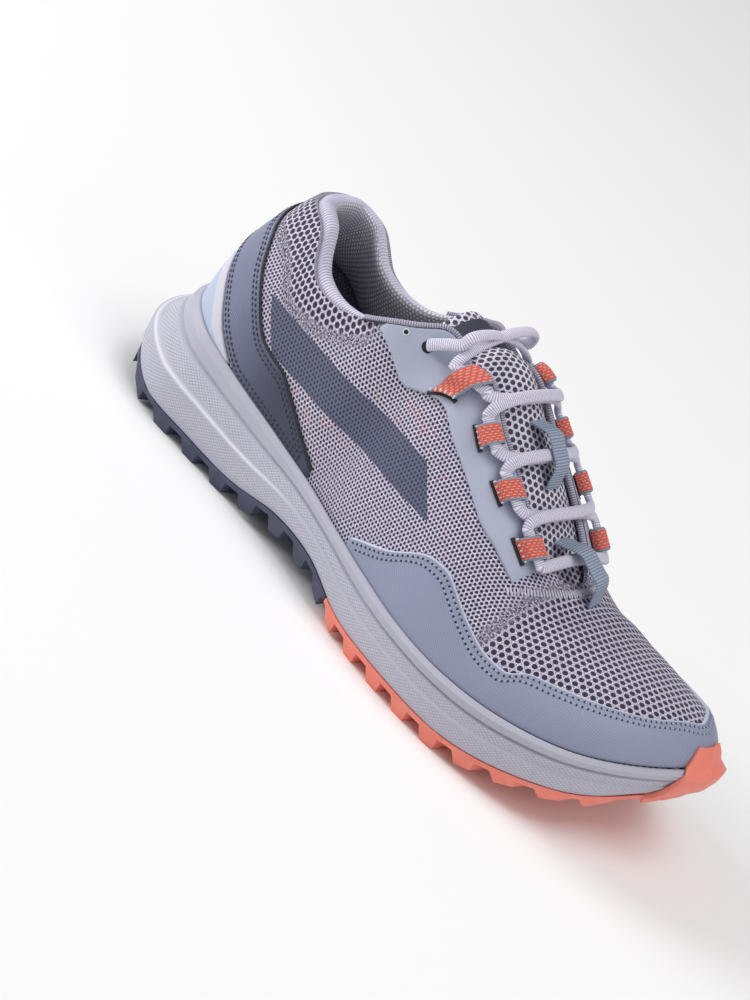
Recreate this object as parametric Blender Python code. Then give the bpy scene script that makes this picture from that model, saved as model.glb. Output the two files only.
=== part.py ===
"""Trail hiking shoe for the right foot, in metres with +Z up.

The toe points along +X and the outer side of the foot is -Y. The shoe stands on z = 0, with its origin at the
centre of the box it fills on the ground. Sizes below are in millimetres, measured from the back of the heel.

The upper is a ring of ribs. A station counts the sections of the last around that ring: 0 at the heel, up the
outer side to the toe, and back along the inner side. A share runs up each rib, from 0 at the upper's lower edge
to 1 at the ridge over the forefoot or at the collar.
"""

import math

import bmesh
import bpy
import numpy as np

MM = 0.001

# Driving dimensions
CENTRE = (137.45, -1.85, 0.0)  # middle of the ground box
GAP = 0.35                    # between pieces that meet
WALL = 1.6                    # upper: mesh and its lining
CUP_DEPTH = 8.0               # how deep the upper sits in the midsole
RIM_WALL = 2.2                # midsole around the upper's lower edge
OUTSOLE = 1.8                 # rubber between midsole and lugs
LUG_DEPTH = 4.7
LUG_TAPER = 1.0               # how far a lug's foot draws in all round
LUG_RAKE = 2.6                # and how much further at its back
TOE_LUG_FADE = 0.45           # how much shallower the last lugs under the toe are
FLOOR_ALLOWANCE = 0.6         # tread lower than this stands flat on the floor
CHEVRON = 6.0                 # how far the tread's rows point forward
BUMPER = 1.8                  # toe bumper
OVERLAY = 0.9                 # welded panels on the upper
INSOLE = 4.0
COLLAR_PAD, COLLAR_EDGE = 6.5, 1.6   # the collar's padding at the heel and at its front ends
COLLAR_RISE = 0.35            # how far the padding stands above the upper's edge, as a share of it
TONGUE = 3.6                  # padded tongue
LABEL = 0.7
LACE_WIDTH, LACE_HEIGHT = 4.6, 2.5
WEBBING = 0.8                 # lace loops and keepers
LOOP_WIDTH = 8.6
KEEPER_WIDTH = 9.0
SQUARENESS = 2.3              # of the forefoot's cross section

# One row for each section of the last, from heel to toe.
SECTION_COLUMNS = (
    "foot_x", "lateral", "medial", "rim_z", "top_x", "top_lateral", "top_medial", "top_z",
    "arch", "belly", "flare", "ground",
)
SECTIONS = (
    (9.0, 0.0, 0.0, 42.0, 24.0, 1.5, 1.5, 98.5, 0.00, 6.0, 12.5, 10.0),
    (14.5, -18.5, 18.0, 41.0, 28.5, -11.5, 15.0, 98.5, 0.00, 5.0, 12.5, 6.5),
    (31.0, -30.0, 29.0, 38.5, 41.0, -18.5, 21.0, 95.0, 0.00, 3.5, 10.0, 0.6),
    (55.0, -33.0, 31.0, 35.5, 54.5, -25.5, 23.5, 83.0, 0.00, 2.5, 7.5, 0.0),
    (80.0, -35.0, 31.0, 33.0, 74.5, -28.0, 22.5, 83.5, 0.05, 2.0, 5.5, 1.5),
    (104.0, -37.5, 31.0, 30.5, 98.0, -25.5, 21.5, 97.0, 0.20, 2.0, 5.0, 7.0),
    (127.0, -42.0, 33.0, 28.0, 126.0, 1.0, 1.0, 112.0, 0.70, 1.0, 4.0, 7.5),
    (150.0, -46.5, 38.0, 26.0, 150.0, 1.5, 1.5, 95.0, 0.80, 1.0, 3.5, 1.5),
    (173.0, -50.0, 43.0, 24.5, 173.0, 3.0, 3.0, 75.5, 0.95, 0.5, 3.0, 0.0),
    (197.0, -50.5, 46.5, 24.5, 197.0, 5.0, 5.0, 58.0, 1.00, 0.0, 3.0, 0.0),
    (222.0, -46.5, 46.5, 27.0, 219.0, 7.5, 7.5, 54.5, 1.00, 0.0, 3.0, 3.0),
    (246.5, -36.0, 40.5, 32.0, 237.0, 9.5, 9.5, 54.0, 1.00, 0.0, 3.0, 10.0),
    (264.0, -17.0, 31.0, 38.0, 249.0, 11.0, 11.0, 53.0, 1.00, 0.0, 3.0, 17.0),
    (273.5, 10.0, 10.0, 42.0, 255.0, 11.0, 11.0, 52.0, 1.00, 0.0, 3.5, 22.0),
)
HALF = len(SECTIONS) - 1      # stations from heel to toe
RING = 2 * HALF               # stations all round
RIBS_PER_SECTION = 3
RIB_ROWS = np.array((0.0, 0.10, 0.22, 0.35, 0.48, 0.61, 0.74, 0.87, 1.0))

# The throat: where the collar turns into it, where it closes, and the ribs' share at its edge
THROAT_TOP = (5.25, 5.9)
THROAT_BASE = (8.3, 9.0)
THROAT_SHARE = (0.73, 0.86)

# Side of the midsole from its foot to its rim: share of the height, share of the flare, a step outwards, and
# share of the tuck under the toe
SIDE_PROFILE = (
    (0.00, 0.95, -0.6, 1.0),
    (0.12, 1.00, 0.1, 0.75),
    (0.40, 1.00, 0.4, 0.35),
    (0.46, 0.80, -0.3, 0.28),
    (0.69, 0.36, 0.0, 0.05),
    (0.73, 0.28, -0.9, 0.0),
    (0.78, 0.22, 0.3, 0.0),
    (0.92, 0.10, 0.5, 0.0),
    (1.00, 0.00, -0.8, 0.0),
)
TOE_TUCK = 7.0

# Edges of the panels on the upper, as (station, share) from the heel forwards
COUNTER_FRONT = ((0.0, 0.85), (0.5, 0.82), (1.35, 0.715), (1.9, 0.60), (2.55, 0.515), (3.1, 0.46),
                 (3.6, 0.445), (4.05, 0.35), (4.55, 0.22), (5.1, 0.11), (5.5, 0.05))
COUNTER_BACK = ((0.0, 0.55), (0.85, 0.475), (1.7, 0.325), (2.15, 0.24), (2.7, 0.16), (2.95, 0.13), (3.3, 0.05))
RAND_TOP = ((6.2, 0.05), (7.05, 0.165), (7.75, 0.32), (8.15, 0.36), (8.8, 0.35), (9.35, 0.33), (9.65, 0.335),
            (9.9, 0.415), (10.35, 0.465), (10.9, 0.525), (11.65, 0.62), (12.6, 0.78), (13.0, 0.80))
EYESTAY_LOW = ((4.65, 0.97), (5.0, 0.82), (5.45, 0.60), (6.0, 0.54), (6.45, 0.52), (6.95, 0.545), (7.75, 0.56),
               (8.2, 0.60), (8.7, 0.64))
COUNTER_END, PATCH_END = 5.0, 2.67
RAND_START = 6.33
EYESTAY_SPAN = (4.67, 8.67)

# Tread rows: the front and back of each row of lugs along the foot
HEEL_START, HEEL_END = 9.0, 142.5
HEEL_LUGS = ((12.0, 17.0), (20.0, 29.0), (35.5, 45.0), (52.0, 61.5), (68.5, 78.0), (85.0, 94.5), (101.5, 111.0),
             (117.5, 126.5), (132.5, 141.0))
FOREFOOT_START, FOREFOOT_END = 143.2, 273.5
FOREFOOT_LUGS = ((145.0, 152.5), (159.0, 167.0), (173.0, 181.5), (187.5, 196.0), (202.0, 210.5), (216.5, 225.0),
                 (230.5, 239.0), (244.5, 252.0), (256.0, 261.5))
HEEL_LINES = (9.8,)           # lines that round the two ends of the tread
TOE_LINES = (263.5, 268.0, 271.8)
TOE_REACH = 3.0               # how far the tread's front runs into the bumper
TREAD_COLUMNS = (0.0, 0.21, 0.35, 0.65, 0.79, 1.0)
LUG_COLUMNS = (0, 2, 4)

# The toe bumper: half its width in stations, against the share of the midsole's height and then of the ribs
BUMPER_SIDE = ((0.64, -0.17), (0.63, 0.0), (0.61, 0.12), (0.57, 0.40), (0.52, 0.78), (0.49, 0.92), (0.47, 1.02))
BUMPER_TOP = ((0.43, 0.26), (0.37, 0.36), (0.30, 0.48))
RIM_BULGE = 0.92              # share of the midsole's height where its rim stands out most

# Lace loops down each side of the throat: station, how far the webbing reaches back over the eyestay, how many
# stations it slants back for each millimetre, and the front of its eye, inwards from the throat's edge
LOOPS = ((6.17, 14.0, 0.015, -1.4), (6.95, 11.0, 0.015, -3.2), (7.7, 11.0, 0.012, -3.2), (8.44, 11.0, 0.008, -3.0))
LOOP_EYE_WIDTH = 6.0
LOOP_EYE_HEIGHT = 3.3
LOOP_SEAT = 0.6               # between the loops' webbing and the eyestay's curve
TOP_EYELET = (5.35, 0.87)
STRAND_RISE = 1.3             # how far the lower strands stand off the tongue
TOP_STRAND_RISE = 6.0         # how much further the last two do
COLLAR_END = 4.67
TONGUE_TOP, TONGUE_FOLD, TONGUE_END = 4.8, 5.67, 9.33
TONGUE_RISE = (-19.0, 0.0, 4.5)   # the free end of the tongue, for each station above the fold
TONGUE_CROWN = ((5.67, 9.0), (6.3, 6.5), (7.0, 5.0), (7.7, 3.8), (8.3, 1.8), (8.7, 0.0))
TONGUE_WING = 0.13            # how far the tongue's edges tuck under the eyestays
TONGUE_COLUMNS = (-1.0, -0.85, -0.7, -0.35, 0.0, 0.35, 0.7, 0.85, 1.0)

# Keepers over the lace: stations of the two ends, and how high the strap arches
KEEPER_TONGUE = (6.83, 7.72, 6.6)
KEEPER_BASE = (8.36, 9.35, 8.0)

TABLE = {name: np.array(column) for name, column in zip(SECTION_COLUMNS, zip(*SECTIONS))}


def around(lateral, medial):
    """Section values around the whole ring: heel, outer side, toe, inner side."""
    return np.concatenate([TABLE[lateral], TABLE[medial][-2:0:-1]])


RING_VALUES = {name: around(name, name) for name in SECTION_COLUMNS if "al" not in name}
RING_VALUES["foot_y"] = around("lateral", "medial")
RING_VALUES["top_y"] = around("top_lateral", "top_medial")


def ring_value(name, station):
    """A section value at any station, on a smooth curve through the sections."""
    values = RING_VALUES[name]
    station = np.asarray(station, float)
    first = np.floor(station).astype(int)
    f = station - first
    a, b, c, d = (values[(first + step) % RING] for step in (-1, 0, 1, 2))
    return 0.5 * (2 * b + (c - a) * f + (2 * a - 5 * b + 4 * c - d) * f**2 + (3 * b - a - 3 * c + d) * f**3)


def from_heel(station):
    """Stations from the heel, whichever side of the foot."""
    turn = np.mod(station, RING)
    return np.minimum(turn, RING - turn)


def smoothstep(low, high, value):
    """0 below low, 1 above high and smooth between."""
    t = np.clip((value - low) / (high - low), 0.0, 1.0)
    return t * t * (3.0 - 2.0 * t)


def throat_share(station):
    """The ribs' share along the sides of the throat."""
    return np.interp(from_heel(station), (6.0, 9.0), THROAT_SHARE)


def edge_share(station):
    """The share at which each rib ends: 1, or less along the throat."""
    section = from_heel(station)
    closing = np.clip((section - THROAT_BASE[0]) / (THROAT_BASE[1] - THROAT_BASE[0]), 0.0, 1.0)
    opening = (1.0 - throat_share(station)) * smoothstep(*THROAT_TOP, section) * np.sqrt(1.0 - closing**2)
    return 1.0 - opening


def ground(station):
    """Height of the lugs' feet: flat under heel and ball, raised at the arch, the heel's back and the toe."""
    return np.maximum(ring_value("ground", station) - FLOOR_ALLOWANCE, 0.0)


def outward(station):
    """Unit vector out of the foot's outline, in plan."""
    step = 0.001
    along_x = ring_value("foot_x", station + step) - ring_value("foot_x", station - step)
    along_y = ring_value("foot_y", station + step) - ring_value("foot_y", station - step)
    length = np.hypot(along_x, along_y)
    return along_y / length, -along_x / length


def skin(station, share):
    """A point on the outer face of the upper."""
    station, share = np.broadcast_arrays(np.asarray(station, float), np.asarray(share, float))
    turn = np.clip(share, 0.0, 1.0) * math.pi / 2
    arch = np.clip(ring_value("arch", station), 0.0, 1.0)
    rise = (1 - arch) * share + arch * np.sin(turn) ** (2 / SQUARENESS)
    lean = (1 - arch) * share + arch * (1 - np.cos(turn) ** (2 / SQUARENESS))
    out_x, out_y = outward(station)
    belly = ring_value("belly", station) * np.sin(2 * turn)
    x = ring_value("foot_x", station) * (1 - lean) + ring_value("top_x", station) * lean + out_x * belly
    y = ring_value("foot_y", station) * (1 - lean) + ring_value("top_y", station) * lean + out_y * belly
    low = ring_value("rim_z", station) - CUP_DEPTH
    z = low + (ring_value("top_z", station) - low) * rise
    return np.stack([x, y, z], axis=-1)


def unit(vectors):
    """Vectors at length 1."""
    return vectors / np.linalg.norm(vectors, axis=-1, keepdims=True)


def skin_normal(station, share):
    """Unit vector out of the upper's face."""
    station, share = np.broadcast_arrays(np.asarray(station, float), np.asarray(share, float))
    step = 0.01
    held = np.clip(share, 0.02, 0.95)
    sides = []
    for side in (station, RING - station):
        along = skin(side + step, held) - skin(side - step, held)
        up = skin(side, held + step) - skin(side, held - step)
        sides.append(unit(np.cross(along, up)))
    on_ridge = 0.5 * smoothstep(0.9, 1.0, share) * (from_heel(station) >= THROAT_BASE[1] - step)
    return unit(sides[0] * (1.0 - on_ridge)[..., None] + sides[1] * on_ridge[..., None])


def lifted(station, share, lift):
    """A point off the upper's outer face, or inside it where lift is negative."""
    return skin(station, share) + skin_normal(station, share) * np.asarray(lift)[..., None]


def rim_share(station, clearance):
    """The share at which the upper comes clear of the midsole's rim."""
    shares = np.linspace(0.0, 0.4, 81)
    heights = skin(np.asarray(station)[:, None], shares[None, :])[..., 2]
    goal = ring_value("rim_z", station) + clearance
    return np.array([np.interp(g, h, shares) for g, h in zip(goal, heights)])


def rib_shares(station):
    """Shares of the upper's rows of points at each station, as (stations, rows)."""
    return edge_share(station)[:, None] * RIB_ROWS[None, :]


def stations_between(start, end):
    """Stations of the ribs from start to end."""
    return np.arange(round(start * RIBS_PER_SECTION), round(end * RIBS_PER_SECTION) + 1) / RIBS_PER_SECTION


class Shape:
    """Points and faces of one solid, in millimetres."""

    def __init__(self):
        self.points = []
        self.faces = []

    def add(self, points):
        """Add an array of points and return their numbers in the same layout."""
        points = np.asarray(points, float)
        first = len(self.points)
        self.points.extend(points.reshape(-1, 3))
        return first + np.arange(points.size // 3).reshape(points.shape[:-1])

    def face(self, *numbers):
        """Add one face, leaving out a number that repeats."""
        ring = [int(n) for i, n in enumerate(numbers) if n not in numbers[:i]]
        if len(ring) > 2:
            self.faces.append(ring)

    def sheet(self, numbers, closed=False):
        """Faces over a grid of points, closed where its first index runs round a ring."""
        rows = len(numbers)
        for i in range(rows if closed else rows - 1):
            this, following = numbers[i], numbers[(i + 1) % rows]
            for j in range(len(this) - 1):
                self.face(this[j], following[j], following[j + 1], this[j + 1])

    def span(self, ring):
        """Faces across a ring of points, each side's point joined with the one across."""
        count = len(ring)
        for i in range(count // 2):
            self.face(ring[i], ring[i + 1], ring[count - i - 1], ring[-i])

    def slab(self, outer, inner):
        """A closed plate between two grids of points of the same size."""
        outer, inner = self.add(outer), self.add(inner)
        self.sheet(outer)
        self.sheet(inner)
        for border in (np.s_[0], np.s_[-1], np.s_[:, 0], np.s_[:, -1]):
            self.sheet(np.stack([outer[border], inner[border]], axis=1))

    def rod(self, rings):
        """A closed solid through rings of points, with flat ends."""
        numbers = self.add(rings)
        self.sheet(np.concatenate([numbers, numbers[:, :1]], axis=1))
        self.face(*numbers[0])
        self.face(*numbers[-1])


def material(name, colour, roughness):
    """A plain Principled material of a linear colour."""
    made = bpy.data.materials.new(name)
    made.use_nodes = True
    shader = made.node_tree.nodes["Principled BSDF"]
    shader.inputs["Base Color"].default_value = (*colour, 1.0)
    shader.inputs["Roughness"].default_value = roughness
    shader.inputs["Metallic"].default_value = 0.0
    return made


def add_solid(name, shape, finish, parent):
    """Turn a shape into a named object in metres, welded and with its faces pointing out."""
    mesh = bpy.data.meshes.new(name)
    mesh.from_pydata([tuple(p * MM) for p in shape.points], [], shape.faces)
    work = bmesh.new()
    work.from_mesh(mesh)
    bmesh.ops.remove_doubles(work, verts=work.verts, dist=0.01 * MM)
    bmesh.ops.recalc_face_normals(work, faces=work.faces)
    work.to_mesh(mesh)
    work.free()
    mesh.materials.append(finish)
    mesh.shade_smooth()
    mesh.set_sharp_from_angle(angle=math.radians(40))
    made = bpy.data.objects.new(name, mesh)
    made.parent = parent
    bpy.context.scene.collection.objects.link(made)
    return made


def upper_shape():
    """The upper: one wall, open at the collar, the throat and underneath."""
    shape = Shape()
    stations = np.arange(RING * RIBS_PER_SECTION) / RIBS_PER_SECTION
    shares = rib_shares(stations)
    outer = shape.add(skin(stations[:, None], shares))
    inner = shape.add(lifted(stations[:, None], shares, -WALL))
    shape.sheet(outer, closed=True)
    shape.sheet(inner, closed=True)
    for i, station in enumerate(stations):
        following = (i + 1) % len(stations)
        shape.face(outer[i, 0], outer[following, 0], inner[following, 0], inner[i, 0])
        if from_heel(station + 0.5 / RIBS_PER_SECTION) < THROAT_BASE[1]:
            shape.face(outer[i, -1], outer[following, -1], inner[following, -1], inner[i, -1])
    return shape


def outline(station, out, height):
    """A point out from the foot's outline at a height."""
    out_x, out_y = outward(station)
    return np.stack([ring_value("foot_x", station) + out_x * out, ring_value("foot_y", station) + out_y * out,
                     height + 0.0 * out_x], axis=-1)


def rim_reach(station):
    """How far the midsole's rim stands out from the foot's outline to clear the upper."""
    shares = rib_shares(station)
    faces = skin(station[:, None], shares)
    out_x, out_y = outward(station)
    foot_x, foot_y = ring_value("foot_x", station), ring_value("foot_y", station)
    reach = (faces[..., 0] - foot_x[:, None]) * out_x[:, None] + (faces[..., 1] - foot_y[:, None]) * out_y[:, None]
    goal = ring_value("rim_z", station)
    at_rim = [np.interp(g, z, r) for g, z, r in zip(goal, faces[..., 2], reach)]
    return np.maximum(at_rim, 0.0) + GAP


def side_reach(station, height_share):
    """How far the midsole's side stands out from the foot's outline at a share of its height."""
    heights, flares, steps, tucks = zip(*SIDE_PROFILE)
    flare_share, step, tuck_share = (np.interp(height_share, heights, column) for column in (flares, steps, tucks))
    base = rim_reach(station) + RIM_WALL
    tuck = TOE_TUCK * smoothstep(HALF - 1.8, HALF, from_heel(station))
    return base + np.maximum(ring_value("flare", station) - base, 0.0) * flare_share + step - tuck * tuck_share


def midsole_foot(station):
    """Height of the midsole's underside."""
    return ground(station) + LUG_DEPTH + OUTSOLE + GAP


def floor_height(station):
    """Height of the midsole's bed, under the upper's lower edge."""
    return ring_value("rim_z", station) - CUP_DEPTH - 2 * GAP


def midsole_shape():
    """The midsole: a flared side with a ridge and a groove, a rim, and a bed that holds the upper."""
    shape = Shape()
    stations = np.arange(RING * RIBS_PER_SECTION) / RIBS_PER_SECTION
    foot, rim = midsole_foot(stations), ring_value("rim_z", stations)
    rows = []
    for height_share in next(zip(*SIDE_PROFILE)):
        rows.append(outline(stations, side_reach(stations, height_share), foot + (rim - foot) * height_share))
    rows.append(outline(stations, rim_reach(stations), rim - 0.2))
    rows.append(outline(stations, np.full(len(stations), GAP), floor_height(stations)))
    numbers = shape.add(np.stack(rows, axis=1))
    shape.sheet(numbers, closed=True)
    shape.span(numbers[:, 0])
    shape.span(numbers[:, -1])
    return shape


def insole_shape():
    """The insole: a foam bed inside the upper's wall, drawn in a little at its top edge."""
    shape = Shape()
    stations = np.arange(RING * RIBS_PER_SECTION) / RIBS_PER_SECTION
    low = floor_height(stations) + GAP
    rows = (
        outline(stations, np.full(len(stations), -(WALL + 0.5)), low),
        outline(stations, np.full(len(stations), -(WALL + 0.6)), low + INSOLE - 1.0),
        outline(stations, np.full(len(stations), -(WALL + 2.0)), low + INSOLE),
    )
    numbers = shape.add(np.stack(rows, axis=1))
    shape.sheet(numbers, closed=True)
    shape.span(numbers[:, 0])
    shape.span(numbers[:, -1])
    return shape


def station_at(x):
    """The station on the outer side at a distance from the heel."""
    stations = np.linspace(0.0, HALF, 521)
    return np.interp(x, ring_value("foot_x", stations), stations)


def tread_point(x, column, height, toe_reach=0.0):
    """A point of the outsole, across the foot at a column share, above the lugs' feet."""
    fade = smoothstep(HEEL_START, 40.0, x) * smoothstep(262.0, 240.0, x) * smoothstep(0.0, 22.0, abs(x - HEEL_END))
    section = np.atleast_1d(station_at(x + CHEVRON * fade * (1.0 - abs(2.0 * column - 1.0))))
    sides = []
    for station in (section, RING - section):
        reach = side_reach(station, 0.0) + GAP
        reach = reach + toe_reach * smoothstep(HALF - 0.8, HALF - 0.4, from_heel(station))
        sides.append(outline(station, reach, ground(station) + height)[0])
    return sides[0] * (1.0 - column) + sides[1] * column


def tread_shape(start, end, lug_rows, end_lines, toe_reach=0.0):
    """A sheet of outsole with tapered lugs: rows along the foot, three lugs across."""
    lines = sorted({start, end, *end_lines, *(x for row in lug_rows for x in row)})
    shape = Shape()
    sole = shape.add([[tread_point(x, c, LUG_DEPTH, toe_reach) for c in TREAD_COLUMNS] for x in lines])
    top = shape.add([[tread_point(x, c, LUG_DEPTH + OUTSOLE, toe_reach) for c in TREAD_COLUMNS] for x in lines])
    shape.sheet(top)
    for border in (np.s_[0], np.s_[-1], np.s_[:, 0], np.s_[:, -1]):
        shape.sheet(np.stack([sole[border], top[border]], axis=1))
    for i in range(len(lines) - 1):
        has_lugs = any(low <= lines[i] and lines[i + 1] <= high for low, high in lug_rows)
        for j in range(len(TREAD_COLUMNS) - 1):
            corners = (sole[i, j], sole[i + 1, j], sole[i + 1, j + 1], sole[i, j + 1])
            if has_lugs and j in LUG_COLUMNS:
                add_lug(shape, corners)
            else:
                shape.face(*corners)
    return shape


def add_lug(shape, corners):
    """Raise one tapered lug on four points of the outsole."""
    roots = np.array([shape.points[n] for n in corners])
    inward = unit(roots.mean(axis=0) - roots)
    feet = roots + inward * LUG_TAPER
    for back, front in ((0, 1), (3, 2)):
        feet[back] += unit(roots[front] - roots[back]) * LUG_RAKE
    fade = smoothstep(205.0, 250.0, roots[:, 0].mean())
    feet[:, 2] = roots[:, 2] - LUG_DEPTH * (1.0 - TOE_LUG_FADE * fade)
    feet = shape.add(feet)
    for i in range(4):
        following = (i + 1) % 4
        shape.face(corners[i], corners[following], feet[following], feet[i])
    shape.face(*feet)


def bumper_shape():
    """The toe bumper: a tapering shield from the outsole up over the midsole's front onto the toe."""
    shape = Shape()
    columns = np.linspace(-1.0, 1.0, 9)
    inner, outer = [], []
    for half_width, height_share in BUMPER_SIDE:
        stations = HALF + columns * half_width
        foot, rim = midsole_foot(stations), ring_value("rim_z", stations)
        reach = side_reach(stations, min(height_share, RIM_BULGE)) + GAP
        height = foot + (rim - foot) * height_share
        inner.append(outline(stations, reach, height))
        outer.append(outline(stations, reach + BUMPER, height - 0.5 * BUMPER))
    for half_width, share in BUMPER_TOP:
        stations = HALF + columns * half_width
        lift = np.full(len(stations), 2 * GAP + OVERLAY)
        inner.append(lifted(stations, share, lift))
        outer.append(lifted(stations, share, lift + 0.8 * BUMPER))
    shape.slab(np.stack(outer), np.stack(inner))
    return shape


def panel_shape(stations, low, high):
    """A panel welded onto the upper between two shares at each station."""
    shape = Shape()
    shares = np.clip(rib_shares(stations), low[:, None], high[:, None])
    shape.slab(lifted(stations[:, None], shares, GAP + OVERLAY), lifted(stations[:, None], shares, GAP))
    return shape


def edge_line(rows, station):
    """The share of a panel's edge at a station."""
    return np.interp(from_heel(station), *zip(*rows))


def counter_shape():
    """The heel counter: a strap from the top of the heel that sweeps down and forward on both sides."""
    stations = stations_between(-COUNTER_END, COUNTER_END)
    high = edge_line(COUNTER_FRONT, stations)
    low = np.maximum(edge_line(COUNTER_BACK, stations), rim_share(stations, 0.6))
    return panel_shape(stations, np.minimum(low, high - 0.01), high)


def heel_patch_shape():
    """The patch on the heel's back, below the counter's strap."""
    stations = stations_between(-PATCH_END, PATCH_END)
    low = rim_share(stations, 0.6)
    high = np.maximum(edge_line(COUNTER_BACK, stations) - 0.015, low + 0.01)
    return panel_shape(stations, low, high)


def rand_shape():
    """The toe rand: a guard round the forefoot, from midfoot to midfoot."""
    stations = stations_between(RAND_START, RING - RAND_START)
    low = rim_share(stations, 0.6)
    return panel_shape(stations, low, np.maximum(edge_line(RAND_TOP, stations), low + 0.01))


def eyestay_shape(side):
    """The eyestay along one side of the throat, from the collar's front to the throat's base."""
    stations = stations_between(*EYESTAY_SPAN)
    if side == "medial":
        stations = RING - stations[::-1]
    high = edge_share(stations)
    return panel_shape(stations, np.minimum(edge_line(EYESTAY_LOW, stations), high - 0.05), high)


def cuff_shape():
    """The padded collar: a roll inside the upper's top edge, from eyestay to eyestay round the heel."""
    shape = Shape()
    stations = stations_between(-COLLAR_END, COLLAR_END)
    fullness = smoothstep(COLLAR_END + 0.3, COLLAR_END - 1.6, np.abs(stations))
    pad = COLLAR_EDGE + (COLLAR_PAD - COLLAR_EDGE) * fullness
    inside = WALL + GAP
    top = skin(stations, np.ones(len(stations)))
    across = skin_normal(stations, np.ones(len(stations)))
    across[:, 2] = 0.0
    across = unit(across)
    rings = []
    for row in (-4, -3, -2, -1):
        rings.append(lifted(stations, RIB_ROWS[row] * edge_share(stations), -inside))
    for turn in np.radians((20, 55, 90, 125, 160)):
        drop = (inside + pad / 2 * (1.0 - math.cos(turn)))[:, None] * across
        rings.append(top - drop + np.array([0.0, 0.0, 1.0]) * (COLLAR_RISE * pad * math.sin(turn))[:, None])
    for row, share in ((-1, 1.0), (-2, 1.0), (-3, 0.8), (-4, 0.35)):
        rings.append(lifted(stations, RIB_ROWS[row] * edge_share(stations), -(inside + 0.4 + pad * share)))
    shape.rod(np.stack(rings, axis=1))
    return shape


def tongue_point(station, across, lift):
    """A point over the tongue's outer face: across runs from -1 at its outer edge to 1 at its inner edge."""
    held = max(station, TONGUE_FOLD)
    crown = np.interp(held, *zip(*TONGUE_CROWN))
    sides = []
    for side in (held, RING - held):
        edge = throat_share(side)
        share = edge - TONGUE_WING * np.clip((abs(across) - 0.7) / 0.3, 0.0, 1.0)
        depth = -(WALL + GAP + 0.2 + 1.2 * smoothstep(8.2, 8.7, held)) + lift
        sides.append(lifted(side, share, np.float64(depth)))
    blend = np.clip(0.5 + across / 1.4, 0.0, 1.0)
    bulge = crown * (1.0 - (2.0 * blend - 1.0) ** 2)
    point = sides[0] * (1.0 - blend) + sides[1] * blend
    vault = unit(skin_normal(held, throat_share(held)) + skin_normal(RING - held, throat_share(held)))
    point = point + vault * bulge
    return point + np.array(TONGUE_RISE) * max(TONGUE_FOLD - station, 0.0)


def tongue_patch(stations, columns, low, high):
    """A plate over the tongue's outer face between two lifts."""
    shape = Shape()
    outer = [[tongue_point(s, c, high) for c in columns] for s in stations]
    inner = [[tongue_point(s, c, low) for c in columns] for s in stations]
    shape.slab(outer, inner)
    return shape


def tongue_shape():
    """The tongue: a padded sheet from under the vamp up through the throat, past the collar."""
    stations = [TONGUE_TOP, 5.3, *stations_between(TONGUE_FOLD, TONGUE_END)]
    return tongue_patch(stations, TONGUE_COLUMNS, -TONGUE, 0.0)


def label_shape():
    """The plain label at the top of the tongue."""
    return tongue_patch((5.02, 5.3, TONGUE_FOLD), (-0.5, -0.35, 0.0, 0.35, 0.5), GAP, GAP + LABEL)


def loop_point(station, slant, inward, lift):
    """A point on a lace loop: inward of the throat's edge, or back over the eyestay where negative."""
    station = station + slant * inward * (1 if station < HALF else -1)
    edge = throat_share(station)
    if inward > 0:
        base = lifted(station, edge, np.float64(lift))
        return base + unit(skin(station, edge) - skin(station, edge - 0.02)) * inward
    length = np.linalg.norm(skin(station, edge) - skin(station, edge - 0.1)) / 0.1
    return lifted(station, edge + inward / length, np.float64(lift))


def station_step(station, distance):
    """How many stations a distance along the throat's edge is."""
    edge = edge_share(station)
    return distance / np.linalg.norm(skin(station + 0.5, edge) - skin(station - 0.5, edge))


def loop_seat(reach):
    """Height of a loop's underside over the upper: a long one stands further off the eyestay's curve."""
    return GAP + OVERLAY + LOOP_SEAT * (reach / LOOPS[-1][1]) ** 2


def loop_shape(station, reach, slant, front):
    """A lace loop: webbing sewn flat on the eyestay, folded round an eye over the throat."""
    shape = Shape()
    seat = loop_seat(reach)
    eye_low = seat + WEBBING
    eye_high = eye_low + LOOP_EYE_HEIGHT
    back = front - LOOP_EYE_WIDTH
    shoulder = (back - reach) / 2
    outer = ((-reach, seat), (shoulder, seat), (back, seat), (front, seat), (front + WEBBING, eye_low),
             (front + WEBBING, eye_high), (front, eye_high + WEBBING), (back, eye_high + WEBBING),
             (shoulder, seat + 2.2), (-reach, seat + 2 * WEBBING))
    eye = ((back, eye_low), (back + 0.6, eye_low), (back + 1.2, eye_low), (front - 0.5, eye_low),
           (front, eye_low + 0.5), (front, eye_high - 0.5), (front - 0.5, eye_high), (back + 1.2, eye_high),
           (back + 0.6, eye_high), (back, eye_high - 0.6))
    half = station_step(station, LOOP_WIDTH / 2)
    ends = []
    for end in (station - half, station + half):
        rings = [[loop_point(end, slant, *place) for place in ring] for ring in (outer, eye)]
        ends.append(shape.add(rings))
    for i in range(len(outer)):
        following = (i + 1) % len(outer)
        for ring in (0, 1):
            shape.face(ends[0][ring, i], ends[0][ring, following], ends[1][ring, following], ends[1][ring, i])
        for numbers in ends:
            shape.face(numbers[0, i], numbers[0, following], numbers[1, following], numbers[1, i])
    return shape


def lace_seat(loop, along):
    """Centre of the lace in a loop, along the throat's edge from the loop's middle, and the way out of the shoe."""
    station, reach, slant, front = loop
    place = station + np.sign(along) * station_step(station, abs(along)) * (1 if station < HALF else -1)
    lift = loop_seat(reach) + WEBBING + LOOP_EYE_HEIGHT / 2
    inward = front - LOOP_EYE_WIDTH / 2
    return loop_point(place, slant, inward, lift), skin_normal(place, edge_share(place))


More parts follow.
